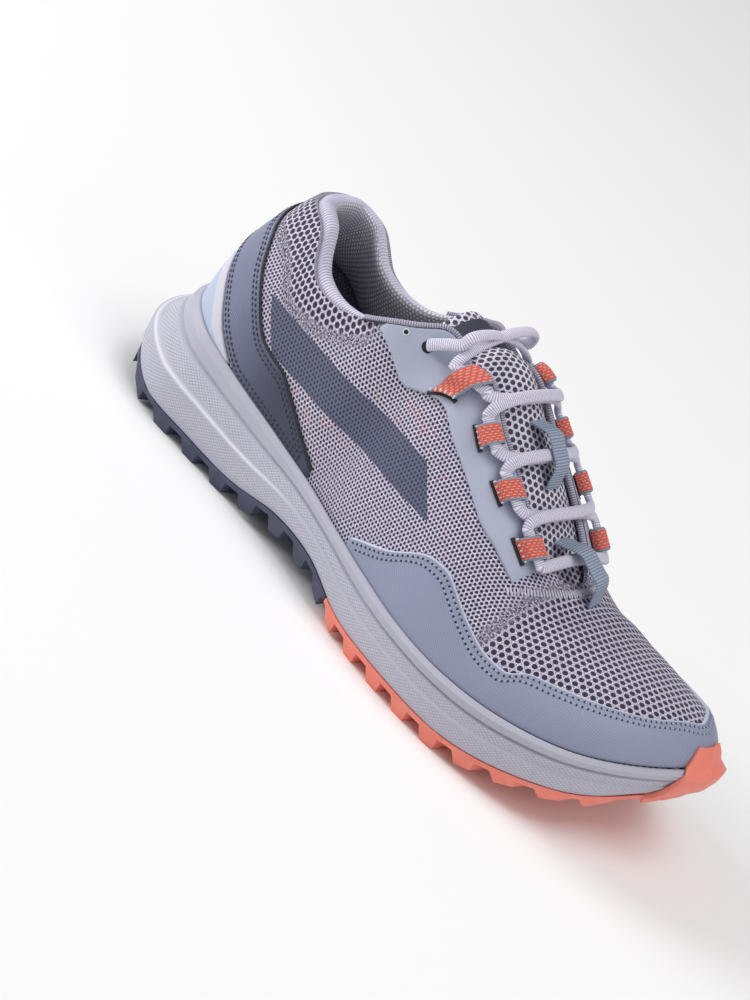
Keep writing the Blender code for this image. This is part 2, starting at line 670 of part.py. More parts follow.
def strand(start, start_way, end, end_way, middle, count, fullness, stiffness):
    """Points of a strand between two places, leaving and coming in along the given ways through a middle."""
    t = np.linspace(0.0, 1.0, count)[:, None]
    reach = stiffness * np.linalg.norm(end - start)
    curve = ((2 * t**3 - 3 * t**2 + 1) * start + (t**3 - 2 * t**2 + t) * start_way * reach
             + (3 * t**2 - 2 * t**3) * end + (t**3 - t**2) * end_way * reach)
    half_way = 0.5 * (start + end) + 0.125 * reach * (start_way - end_way)
    return curve + np.sin(math.pi * t) ** (1.0 / fullness) * (middle - half_way)


def lace_route():
    """The lace's centre line and the way out of the shoe along it, from one top eyelet to the other."""
    overhang = LOOP_WIDTH / 2 + 2.6
    lateral = LOOPS
    medial = [(RING - station, *rest) for station, *rest in LOOPS]
    low_layer = STRAND_RISE + LACE_HEIGHT / 2
    high_layer = low_layer + LACE_HEIGHT + GAP
    points, ways = [], []

    def pass_loop(loop):
        for along in np.array((1.0, 0.8, -0.8, -1.0)) * overhang:
            point, way = lace_seat(loop, along)
            points.append(point)
            ways.append(way)

    def run_to(end, end_way, end_out, middle, count=9, fullness=0.9, stiffness=0.55):
        start, start_out = points[-1], ways[-1]
        start_way = unit(points[-1] - points[-2])
        curve = strand(start, start_way, end, end_way, middle, count, fullness, stiffness)
        for t, point in zip(np.linspace(0.0, 1.0, count)[1:-1], curve[1:-1]):
            points.append(point)
            ways.append(unit(start_out * (1 - t) + end_out * t))

    def over_eyestay(side, section, share):
        station = section if side == "lateral" else RING - section
        lift = GAP + OVERLAY + GAP + LACE_HEIGHT / 2 + 0.7
        return lifted(station, share, np.float64(lift)), skin_normal(station, share)

    def crossing(first, second, lift):
        return tongue_point(0.5 * (from_heel(first) + from_heel(second)), 0.0, lift)

    def climb(route, over_first, end_side):
        over = over_first
        for here, above in zip(route, route[1:]):
            pass_loop(here)
            end, end_out = lace_seat(above, overhang)
            past, _ = lace_seat(above, overhang + 1.0)
            run_to(end, unit(end - past), end_out, crossing(here[0], above[0], high_layer if over else low_layer))
            over = not over
        pass_loop(route[-1])
        last, last_out = over_eyestay(end_side, *TOP_EYELET)
        edge, edge_out = over_eyestay(end_side, TOP_EYELET[0] + 0.3, edge_share(TOP_EYELET[0] + 0.3))
        edge = edge + edge_out * 3.2
        middle = crossing(route[-1][0], TOP_EYELET[0], (high_layer if over else low_layer) + TOP_STRAND_RISE)
        run_to(edge, unit(last - edge), edge_out, middle, fullness=1.1, stiffness=0.3)
        points.extend((edge, 0.5 * (edge + last) + 0.3 * edge_out, last))
        ways.extend((edge_out, edge_out, last_out))

    climb([lateral[3], medial[2], lateral[1], medial[0]], True, "lateral")
    first_points, first_ways = points[::-1], ways[::-1]
    points, ways = [], []
    climb([medial[3], lateral[2], medial[1], lateral[0]], False, "medial")
    second_points, second_ways = points, ways
    points, ways = list(first_points), list(first_ways)
    second_way = unit(second_points[1] - second_points[0])
    base_bar = skin(8.72, 1.0) + np.array([0.0, 0.0, 3.4])
    run_to(second_points[0], second_way, second_ways[0], base_bar, 13)
    return np.array(points + second_points), np.array(ways + second_ways)


def sweep(points, ways, width, height, sides):
    """Rings of an oval or oblong section along a line, flat side towards the way out."""
    along = unit(np.gradient(points, axis=0))
    across = unit(np.cross(along, ways))
    up = np.cross(across, along)
    first = 0.5 if sides % 4 == 0 else 0.0
    turns = (np.arange(sides) + first) * 2 * math.pi / sides
    wide, high = np.cos(turns), np.sin(turns)
    wide, high = wide / wide.max() * width / 2, high / high.max() * height / 2
    return np.stack([points + across * w + up * h for w, h in zip(wide, high)], axis=1)


def lace_shape():
    """The lace, from the top outer eyelet down through the loops and back up to the inner one."""
    shape = Shape()
    points, ways = lace_route()
    shape.rod(sweep(points, ways, LACE_WIDTH, LACE_HEIGHT, 6))
    return shape


def keeper_shape(start, end, height):
    """A strap of webbing arched over the lace between two places."""
    shape = Shape()
    t = np.linspace(0.0, 1.0, 11)[:, None]
    way = np.array([0.55, 0.0, 0.84])
    points = start * (1 - t) + end * t + way * height * np.clip(np.sin(math.pi * t) * 1.5 - 0.1, 0.0, 1.0)
    ways = np.repeat(way[None, :], len(points), axis=0)
    shape.rod(sweep(points, ways, KEEPER_WIDTH, WEBBING, 4))
    return shape


def clear_scene():
    """Start from an empty scene."""
    for item in list(bpy.data.objects):
        bpy.data.objects.remove(item, do_unlink=True)


def join(base, added):
    """Join a second solid to an object by a Boolean union."""
    modifier = base.modifiers.new("join", "BOOLEAN")
    modifier.operation = "UNION"
    modifier.solver = "EXACT"
    modifier.object = added
    added.hide_render = True
    added.display_type = "WIRE"


def build():
    """Make every piece of the shoe under one empty."""
    clear_scene()
    root = bpy.data.objects.new("shoe", None)
    root.location = [-c * MM for c in CENTRE]
    bpy.context.scene.collection.objects.link(root)

    mesh_fabric = material("upper_mesh", (0.42, 0.40, 0.50), 0.85)
    foam = material("midsole_foam", (0.48, 0.47, 0.56), 0.6)
    dark_rubber = material("heel_rubber", (0.045, 0.05, 0.085), 0.7)
    coral_rubber = material("forefoot_rubber", (0.85, 0.16, 0.10), 0.6)
    bed = material("insole_foam", (0.20, 0.20, 0.25), 0.9)
    film = material("panel_film", (0.30, 0.33, 0.47), 0.5)
    slate = material("counter_film", (0.11, 0.12, 0.21), 0.5)
    pale = material("heel_patch_film", (0.55, 0.56, 0.66), 0.6)
    lining = material("collar_knit", (0.38, 0.37, 0.46), 0.9)
    webbing = material("loop_webbing", (0.82, 0.17, 0.10), 0.75)
    strap = material("keeper_webbing", (0.36, 0.40, 0.50), 0.75)
    cord = material("lace_knit", (0.46, 0.45, 0.56), 0.8)
    label = material("label_film", (0.05, 0.055, 0.08), 0.5)

    add_solid("outsole_heel", tread_shape(HEEL_START, HEEL_END, HEEL_LUGS, HEEL_LINES), dark_rubber, root)
    forefoot = tread_shape(FOREFOOT_START, FOREFOOT_END, FOREFOOT_LUGS, TOE_LINES, TOE_REACH)
    forefoot = add_solid("outsole_forefoot", forefoot, coral_rubber, root)
    join(forefoot, add_solid("toe_bumper_form", bumper_shape(), coral_rubber, root))
    add_solid("midsole", midsole_shape(), foam, root)
    add_solid("insole", insole_shape(), bed, root)
    add_solid("upper", upper_shape(), mesh_fabric, root)
    add_solid("collar_cuff", cuff_shape(), lining, root)
    add_solid("tongue", tongue_shape(), mesh_fabric, root)
    add_solid("tongue_label", label_shape(), label, root)
    add_solid("toe_rand", rand_shape(), film, root)
    add_solid("heel_counter", counter_shape(), slate, root)
    add_solid("heel_patch", heel_patch_shape(), pale, root)
    for side in ("lateral", "medial"):
        add_solid(f"eyestay_{side}", eyestay_shape(side), film, root)
        for number, (station, *rest) in enumerate(LOOPS, start=1):
            place = station if side == "lateral" else RING - station
            add_solid(f"lace_loop_{side}_{number}", loop_shape(place, *rest), webbing, root)
    add_solid("laces", lace_shape(), cord, root)
    seat = GAP + WEBBING / 2
    start, end, height = KEEPER_TONGUE
    keeper = keeper_shape(tongue_point(start, 0.0, seat), tongue_point(end, 0.0, seat), height)
    add_solid("lace_keeper_tongue", keeper, strap, root)
    start, end, height = KEEPER_BASE
    keeper = keeper_shape(tongue_point(start, 0.0, seat), lifted(end, 1.0, np.float64(seat)), height)
    add_solid("lace_keeper_base", keeper, strap, root)


build()
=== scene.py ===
"""Looks of a trail hiking shoe for the right foot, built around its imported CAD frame.

Shapes are worked out in millimetres on the shoe's own last, measured from the back of the heel, and turned to
metres in the frame when a piece is made. A station counts the sections of the last around the foot: 0 at the heel,
up the outer side to 13 at the toe and back along the inner side to 26. A share runs up each rib, from 0 at the
upper's lower edge to 1 at the ridge over the forefoot or at the collar.
"""
import logging
import math
from collections.abc import Callable, Mapping, Sequence
from dataclasses import dataclass, field
from enum import Enum
from functools import cache, partial
from typing import Any

import bmesh
import bpy
import numpy as np
from mathutils import Matrix, Vector


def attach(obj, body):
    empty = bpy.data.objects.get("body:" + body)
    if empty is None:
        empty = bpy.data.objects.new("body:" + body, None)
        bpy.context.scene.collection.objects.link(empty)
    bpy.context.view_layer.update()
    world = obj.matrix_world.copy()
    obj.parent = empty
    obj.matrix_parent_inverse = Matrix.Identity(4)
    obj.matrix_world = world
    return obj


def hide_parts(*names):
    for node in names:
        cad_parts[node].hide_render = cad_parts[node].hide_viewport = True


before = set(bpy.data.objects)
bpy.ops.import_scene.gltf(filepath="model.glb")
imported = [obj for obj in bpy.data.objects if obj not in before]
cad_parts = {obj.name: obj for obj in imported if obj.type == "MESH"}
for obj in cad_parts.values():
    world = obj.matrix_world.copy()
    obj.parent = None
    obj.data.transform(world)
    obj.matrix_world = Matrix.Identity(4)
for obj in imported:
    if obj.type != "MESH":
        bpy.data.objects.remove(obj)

LOG = logging.getLogger("shoe")
Array = np.ndarray
Number = float | np.ndarray  # one number, or one for each point
Rows = Sequence[tuple[float, ...]]
Pair = tuple[float, float]
Triple = tuple[float, float, float]
Tree = bpy.types.NodeTree
Piece = bpy.types.Object
Material = bpy.types.Material
Adder = Callable[..., Any]  # adds a node to one tree
Pattern = tuple[Any, Any]  # height, from 0 to 1, and colour, or None where it is even
MM = 0.001
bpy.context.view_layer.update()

# Sizes that the frame has too, in millimetres
CENTRE = np.array((137.45, -1.85, 0.0))
GAP = 0.35
WALL = 1.6
CUP_DEPTH = 8.0
RIM_WALL = 2.2
OUTSOLE = 1.8
LUG_DEPTH = 4.7
FLOOR_ALLOWANCE = 0.6
OVERLAY = 0.9
SQUARENESS = 2.3

SECTION_COLUMNS = (
    "foot_x", "lateral", "medial", "rim_z", "top_x", "top_lateral", "top_medial", "top_z",
    "arch", "belly", "flare", "ground",
)
SECTIONS = (
    (9.0, 0.0, 0.0, 42.0, 24.0, 1.5, 1.5, 98.5, 0.00, 6.0, 12.5, 10.0),
    (14.5, -18.5, 18.0, 41.0, 28.5, -11.5, 15.0, 98.5, 0.00, 5.0, 12.5, 6.5),
    (31.0, -30.0, 29.0, 38.5, 41.0, -18.5, 21.0, 95.0, 0.00, 3.5, 10.0, 0.6),
    (55.0, -33.0, 31.0, 35.5, 54.5, -25.5, 23.5, 83.0, 0.00, 2.5, 7.5, 0.0),
    (80.0, -35.0, 31.0, 33.0, 74.5, -28.0, 22.5, 83.5, 0.05, 2.0, 5.5, 1.5),
    (104.0, -37.5, 31.0, 30.5, 98.0, -25.5, 21.5, 97.0, 0.20, 2.0, 5.0, 7.0),
    (127.0, -42.0, 33.0, 28.0, 126.0, 1.0, 1.0, 112.0, 0.70, 1.0, 4.0, 7.5),
    (150.0, -46.5, 38.0, 26.0, 150.0, 1.5, 1.5, 95.0, 0.80, 1.0, 3.5, 1.5),
    (173.0, -50.0, 43.0, 24.5, 173.0, 3.0, 3.0, 75.5, 0.95, 0.5, 3.0, 0.0),
    (197.0, -50.5, 46.5, 24.5, 197.0, 5.0, 5.0, 58.0, 1.00, 0.0, 3.0, 0.0),
    (222.0, -46.5, 46.5, 27.0, 219.0, 7.5, 7.5, 54.5, 1.00, 0.0, 3.0, 3.0),
    (246.5, -36.0, 40.5, 32.0, 237.0, 9.5, 9.5, 54.0, 1.00, 0.0, 3.0, 10.0),
    (264.0, -17.0, 31.0, 38.0, 249.0, 11.0, 11.0, 53.0, 1.00, 0.0, 3.0, 17.0),
    (273.5, 10.0, 10.0, 42.0, 255.0, 11.0, 11.0, 52.0, 1.00, 0.0, 3.5, 22.0),
)
HALF = len(SECTIONS) - 1
RING = 2 * HALF
THROAT_TOP = (5.25, 5.9)
THROAT_BASE = (8.3, 9.0)
THROAT_SECTIONS = (6.0, 9.0)
THROAT_SHARE = (0.73, 0.86)
RIM_TUCK = 0.45  # millimetres that the films are tucked behind the midsole's rim
FLAT_SHARE = 0.4  # where the upper's flat millimetres are measured round the foot

# Soft swells and creases of the upper: station, share, half lengths in stations and in share, and
# how far the face moves out there in millimetres
RELIEF = (
    (0.0, 0.93, 1.6, 0.09, 0.5), (2.6, 0.93, 1.1, 0.10, 0.6), (23.4, 0.93, 1.1, 0.10, 0.6),
    (3.5, 0.72, 0.55, 0.07, -0.7), (22.5, 0.72, 0.55, 0.07, -0.7), (4.6, 0.42, 0.8, 0.10, 0.5),
    (9.35, 0.72, 0.16, 0.22, -0.45), (16.65, 0.72, 0.16, 0.22, -0.45), (10.05, 0.78, 0.14, 0.16, -0.35),
    (15.95, 0.78, 0.14, 0.16, -0.35), (9.7, 0.80, 0.15, 0.2, 0.3), (16.3, 0.80, 0.15, 0.2, 0.3),
    (7.3, 0.30, 0.5, 0.09, -0.4), (6.0, 0.40, 0.6, 0.12, 0.4),
)


class Side(Enum):
    """The two sides of the foot."""

    LATERAL = "lateral"
    MEDIAL = "medial"

    def station(self, section: Number) -> Number:
        """The station of a section on this side."""
        return section if self is Side.LATERAL else RING - section


def smoothstep(low: float, high: float, value: Number) -> Array:
    """A smooth step from 0 at low to 1 at high."""
    t = np.clip((np.asarray(value, float) - low) / (high - low), 0.0, 1.0)
    return t * t * (3.0 - 2.0 * t)


def rounded_edge(distance: Array, bevel: float) -> Array:
    """Height of a quarter-round edge, from 0 at the edge to 1 at the bevel's distance."""
    return np.sqrt(1.0 - (1.0 - np.clip(distance / bevel, 0.0, 1.0)) ** 2)


def unit(vectors: Array) -> Array:
    """Vectors at length 1."""
    return vectors / np.maximum(np.linalg.norm(vectors, axis=-1, keepdims=True), 1e-9)


def hermite(t: Array, start: Number, leaving: Number, end: Number, arriving: Number) -> Array:
    """A curve from start to end that leaves and arrives at given slopes, for t from 0 to 1."""
    return ((2 * t**3 - 3 * t**2 + 1) * start + (t**3 - 2 * t**2 + t) * leaving
            + (3 * t**2 - 2 * t**3) * end + (t**3 - t**2) * arriving)


def spline(a: Array, b: Array, c: Array, d: Array, f: Array) -> Array:
    """The smooth curve through four points, from b where f is 0 to c where it is 1."""
    return 0.5 * (2 * b + (c - a) * f + (2 * a - 5 * b + 4 * c - d) * f**2 + (3 * b - a - 3 * c + d) * f**3)


def eased(rows: Rows, at: Number) -> Array:
    """A smooth line through a short table, without overshoot.

    Args:
        rows: pairs of place and value.
        at: places to read.
    Returns:
        The values there.
    """
    x, y = (np.array(column, float) for column in zip(*rows))
    step, slope = np.diff(x), np.diff(y) / np.diff(x)
    product = slope[:-1] * slope[1:]
    mean = 2.0 * product / np.where(product > 0, slope[:-1] + slope[1:], 1.0)
    tangent = np.concatenate([slope[:1], np.where(product > 0, mean, 0.0), slope[-1:]])
    at = np.clip(np.asarray(at, float), x[0], x[-1])
    i = np.clip(np.searchsorted(x, at, side="right") - 1, 0, len(step) - 1)
    return hermite((at - x[i]) / step[i], y[i], step[i] * tangent[i], y[i + 1], step[i] * tangent[i + 1])


def run_length(points: Array, axis: int = 0) -> Array:
    """Length along rows of points, from the first point of each; coordinates come last."""
    steps = np.linalg.norm(np.diff(points, axis=axis), axis=-1)
    return np.concatenate([0.0 * np.take(steps, [0], axis=axis), np.cumsum(steps, axis=axis)], axis=axis)


def flat_map(along: Array, over: Array) -> Array:
    """Flat millimetres of a grid, from the lengths along it and over it."""
    return np.stack(np.broadcast_arrays(along, over), axis=-1)


def through(points: Array, count: int, closed: bool = False) -> Array:
    """A smooth curve through points.

    Args:
        points: the points, along the first axis.
        count: how many steps to take between two points.
        closed: whether the last point leads back to the first.
    Returns:
        The points of the curve.
    """
    n = len(points)
    spans = n if closed else n - 1
    at = np.arange(spans * count + (0 if closed else 1)) / count
    i = np.minimum(at.astype(int), spans - 1)
    near = ((i + step) % n if closed else np.clip(i + step, 0, n - 1) for step in (-1, 0, 1, 2))
    return spline(*(points[k] for k in near), (at - i).reshape((-1,) + (1,) * (points.ndim - 1)))


def spaced(points: Array, values: Array, step: float) -> tuple[Array, Array]:
    """Points set evenly along a line.

    Args:
        points: the line's points.
        values: vectors that go with them.
        step: the space to leave.
    Returns:
        The new points and their vectors.
    """
    along = run_length(points)
    at = np.linspace(0.0, along[-1], max(int(along[-1] / step), 2))
    new = [np.stack([np.interp(at, along, v[:, c]) for c in range(3)], axis=-1) for v in (points, values)]
    return new[0], new[1]


class Last:
    """The form that the shoe is built on: its outline, ribs and upper face."""

    def __init__(self) -> None:
        """Lay the section table out around the foot."""
        table = {name: np.array(column) for name, column in zip(SECTION_COLUMNS, zip(*SECTIONS))}
        sides = {name: (name, name) for name in SECTION_COLUMNS}
        sides |= {"foot_y": ("lateral", "medial"), "top_y": ("top_lateral", "top_medial")}
        self.ring = {name: np.concatenate([table[out], table[back][-2:0:-1]]) for name, (out, back) in sides.items()}

    def value(self, name: str, station: Number) -> Array:
        """A section value at any station, on a smooth curve through the sections."""
        i = np.floor(station).astype(int)
        return spline(*(self.ring[name][(i + step) % RING] for step in (-1, 0, 1, 2)), station - i)

    @staticmethod
    def from_heel(station: Number) -> Array:
        """Stations from the heel, whichever side of the foot."""
        turn = np.mod(station, RING)
        return np.minimum(turn, RING - turn)

    def throat_share(self, station: Number) -> Array:
        """The ribs' share along the sides of the throat."""
        return np.interp(self.from_heel(station), THROAT_SECTIONS, THROAT_SHARE)

    def edge_share(self, station: Number) -> Array:
        """The share at which each rib ends.

        Args:
            station: around the foot.
        Returns:
            1, or less along the throat.
        """
        section = self.from_heel(station)
        closing = np.clip((section - THROAT_BASE[0]) / (THROAT_BASE[1] - THROAT_BASE[0]), 0.0, 1.0)
        opening = (1.0 - self.throat_share(station)) * smoothstep(*THROAT_TOP, section) * np.sqrt(1.0 - closing**2)
        return 1.0 - opening

    def ground(self, station: Number) -> Array:
        """Height of the lugs' feet."""
        return np.maximum(self.value("ground", station) - FLOOR_ALLOWANCE, 0.0)

    def outward(self, station: Number) -> tuple[Array, Array]:
        """The way out of the foot's outline, in plan.

        Args:
            station: around the foot.
        Returns:
            The unit vector's x and y.
        """
        step = 0.001
        x, y = (self.value(name, station + step) - self.value(name, station - step) for name in ("foot_x", "foot_y"))
        length = np.hypot(x, y)
        return y / length, -x / length

    def skin(self, station: Number, share: Number) -> Array:
        """A point on the outer face of the upper.

        Args:
            station: around the foot.
            share: up the rib.
        Returns:
            The points, coordinates last.
        """
        station, share = np.broadcast_arrays(station, share)
        turn = np.clip(share, 0.0, 1.0) * math.pi / 2
        arch = np.clip(self.value("arch", station), 0.0, 1.0)
        rise = (1 - arch) * share + arch * np.sin(turn) ** (2 / SQUARENESS)
        lean = (1 - arch) * share + arch * (1 - np.cos(turn) ** (2 / SQUARENESS))
        belly = self.value("belly", station) * np.sin(2 * turn)
        x, y = (self.value("foot_" + way, station) * (1 - lean) + self.value("top_" + way, station) * lean + out * belly
                for way, out in zip("xy", self.outward(station)))
        low = self.value("rim_z", station) - CUP_DEPTH
        return np.stack([x, y, low + (self.value("top_z", station) - low) * rise], axis=-1)

    def normal(self, station: Number, share: Number) -> Array:
        """The way out of the upper's face.

        Args:
            station: around the foot.
            share: up the rib.
        Returns:
            Unit vectors, the mean of both sides' on the ridge over the forefoot.
        """
        station, share = np.broadcast_arrays(station, share)
        step = 0.01
        held = np.clip(share, 0.02, 0.95)
        sides = []
        for side in (station, RING - station):
            along = self.skin(side + step, held) - self.skin(side - step, held)
            up = self.skin(side, held + step) - self.skin(side, held - step)
            sides.append(unit(np.cross(along, up)))
        ridge = 0.5 * smoothstep(0.9, 1.0, share) * (self.from_heel(station) >= THROAT_BASE[1] - step)
        return unit(sides[0] * (1.0 - ridge)[..., None] + sides[1] * ridge[..., None])

    def lifted(self, station: Number, share: Number, lift: Number) -> Array:
        """A point off the upper's outer face, with its soft swells and creases.

        Args:
            station: around the foot.
            share: up the rib.
            lift: millimetres off the face, or inside it where negative.
        Returns:
            The points.
        """
        out = np.asarray(lift, float)
        for middle, height, along, up, depth in RELIEF:
            turn = self.from_heel(station - middle)
            out = out + depth * np.exp(-((turn / along) ** 2) - ((share - height) / up) ** 2)
        return self.skin(station, share) + self.normal(station, share) * out[..., None]

    def rib_scale(self, station: Number, share: Number, step: float = 0.02) -> Array:
        """Millimetres along the rib for one whole share."""
        return np.linalg.norm(self.skin(station, share + step) - self.skin(station, share - step), axis=-1) / (2 * step)

    def up_rib(self, station: Number, share: Number, step: float = 0.02) -> Array:
        """The way up the rib."""
        return unit(self.skin(station, share) - self.skin(station, share - step))

    def rim_share(self, station: Array) -> Array:
        """The share at which the upper comes to the midsole's rim.

        Args:
            station: around the foot.
        Returns:
            The shares.
        """
        shares = np.linspace(0.0, 0.4, 81)
        heights = self.skin(station[:, None], shares[None, :])[..., 2]
        goal = self.value("rim_z", station) - RIM_TUCK
        return np.array([np.interp(g, h, shares) for g, h in zip(goal, heights)])

    def outline(self, station: Array, out: Number, height: Number) -> Array:
        """A point out from the foot's outline at a height."""
        x, y = (self.value("foot_" + way, station) + step * out for way, step in zip("xy", self.outward(station)))
        return np.stack([x, y, height + 0.0 * x], axis=-1)


LAST = Last()


def linear(code: str) -> tuple[float, ...]:
    """Turn an sRGB colour of six hex digits to linear red, green and blue, with an alpha of 1."""
    channels = (int(code[i:i + 2], 16) / 255 for i in (0, 2, 4))
    return *(c / 12.92 if c <= 0.04045 else ((c + 0.055) / 1.055) ** 2.4 for c in channels), 1.0


def add_node(tree: Tree, kind: str, feeds: Sequence[Any] | Mapping[Any, Any] = (), operation: str = "",
             out: int | str = 0, **settings: Any) -> Any:
    """Add one node to a tree.

    Args:
        tree: the tree.
        kind: the node's type.
        feeds: what goes into its sockets, in order or by name: sockets, values, or hex codes for colours.
        operation: what it works out, where it has a choice.
        out: which output to give back.
        **settings: the node's own settings.
    Returns:
        The chosen output socket, or the node where it has none.
    """
    node = tree.nodes.new(kind)
    if operation:
        node.operation = operation
    for name, value in settings.items():
        setattr(node, name, value)
    for key, value in feeds.items() if isinstance(feeds, Mapping) else enumerate(feeds):
        socket = node.inputs[key]
        if isinstance(value, bpy.types.NodeSocket):
            tree.links.new(value, socket)
        elif value is not None:
            socket.default_value = linear(value) if socket.type == "RGBA" else value
    return node.outputs[out] if len(node.outputs) else node


MATH, VECTOR, RANGE = "ShaderNodeMath", "ShaderNodeVectorMath", "ShaderNodeMapRange"
NOISE, UV_MAP, WEIGHT = "ShaderNodeTexNoise", "ShaderNodeUVMap", "ShaderNodeAttribute"
MIX, COLOURS = "ShaderNodeMix", "ShaderNodeMixRGB"
SOFT = {"interpolation_type": "SMOOTHSTEP"}
# Where three threads meet, the yarn is darkened as painted shade, so the rims round the holes look lit.
JOINT = (0.48, 0.56)  # distances from a hole, in pitches, between which three threads meet
YARN_MOTTLE = (0.55, 0.38, 0.62)  # size in millimetres and contrast of the speckle in a melange yarn


def honeycomb(add: Adder, place: Any, pitch: float) -> Any:
    """Distance from the nearest hole's middle in a staggered mesh.

    Args:
        add: adds a node.
        place: the surface's millimetres.
        pitch: millimetres between holes.
    Returns:
        The distance, as a share of the pitch.
    """
    tall = math.sqrt(3.0)
    cell = add(VECTOR, [place, (pitch, pitch * tall, 1.0)], "DIVIDE")
    lengths = []
    for shift in (0.0, 0.5):
        moved = add(VECTOR, [cell, (shift, shift, 0.0)], "ADD")
        part = add(VECTOR, [moved], "FRACTION")
        middle = add(VECTOR, [part, (0.5, 0.5, 0.0)], "SUBTRACT")
        scaled = add(VECTOR, [middle, (1.0, tall, 0.0)], "MULTIPLY")
        lengths.append(add(VECTOR, [scaled], "LENGTH", "Value"))
    return add(MATH, lengths, "MINIMUM")


def knurl(add: Adder, place: Any, pitch: float, stretch: float = 1.0) -> Any:
    """Height of a fine diamond pattern.

    Args:
        add: adds a node.
        place: the surface's millimetres.
        pitch: millimetres between diamonds.
        stretch: how much longer they are along the surface.
    Returns:
        The height, from 0 to 1.
    """
    turn = math.pi / pitch
    waves = []
    for sign in (1.0, -1.0):
        lean = add(VECTOR, [place, (turn / stretch, sign * turn, 0.0)], "DOT_PRODUCT", "Value")
        wave = add(MATH, [lean], "SINE")
        waves.append(add(MATH, [wave], "ABSOLUTE"))
    return add(MATH, waves, "MULTIPLY")


def ribs(add: Adder, place: Any, direction: Pair, pitch: float) -> Any:
    """Height of a row of ribs.

    Args:
        add: adds a node.
        place: the surface's millimetres.
        direction: the way across the ribs.
        pitch: millimetres between ribs.
    Returns:
        The height, from 0 to 1.
    """
    turn = 2.0 * math.pi / pitch
    across = add(VECTOR, [place, (direction[0] * turn, direction[1] * turn, 0.0)], "DOT_PRODUCT", "Value")
    wave = add(MATH, [across], "SINE")
    return add(MATH, [wave, 0.5, 0.5], "MULTIPLY_ADD")


def mottle(add: Adder, place: Any, size: float, low: float, high: float) -> Any:
    """Soft random variation from 0 to 1, in patches of a size in millimetres, between two levels of the noise."""
    noise = add(NOISE, {"Vector": place, "Scale": 1.0 / size, "Detail": 2.0})
    return add(RANGE, [noise, low, high], **SOFT)


def object_mm(add: Adder) -> Any:
    """The piece's own place in millimetres."""
    return add(VECTOR, [add("ShaderNodeTexCoord", out="Object"), (1.0 / MM,) * 3], "MULTIPLY")


@dataclass(frozen=True)
class Finish:
    """What every finish has: its name, main colour as sRGB hex, roughness, slot, sheen and depth in millimetres."""

    name: str
    colour: str
    roughness: float = 0.7
    slot: str = ""
    sheen: float = 0.0
    depth: float = 0.0

    def pattern(self, add: Adder) -> Pattern:
        """A plain surface."""
        return None, None

    def make(self) -> Material:
        """Make the material.

        Returns:
            The material, with its pattern in relief and in colour.
        """
        made = bpy.data.materials.new(self.name)
        made.use_nodes = True
        add = partial(add_node, made.node_tree)
        inputs = made.node_tree.nodes["Principled BSDF"].inputs
        inputs["Base Color"].default_value = linear(self.colour)
        inputs["Roughness"].default_value = self.roughness
        inputs["Sheen Weight"].default_value = self.sheen
        height, colour = self.pattern(add)
        if height is not None:
            bump = add("ShaderNodeBump", {"Height": height, "Strength": 1.0, "Distance": self.depth * MM})
            made.node_tree.links.new(bump, inputs["Normal"])
        if colour is not None:
            made.node_tree.links.new(colour, inputs["Base Color"])
        return made


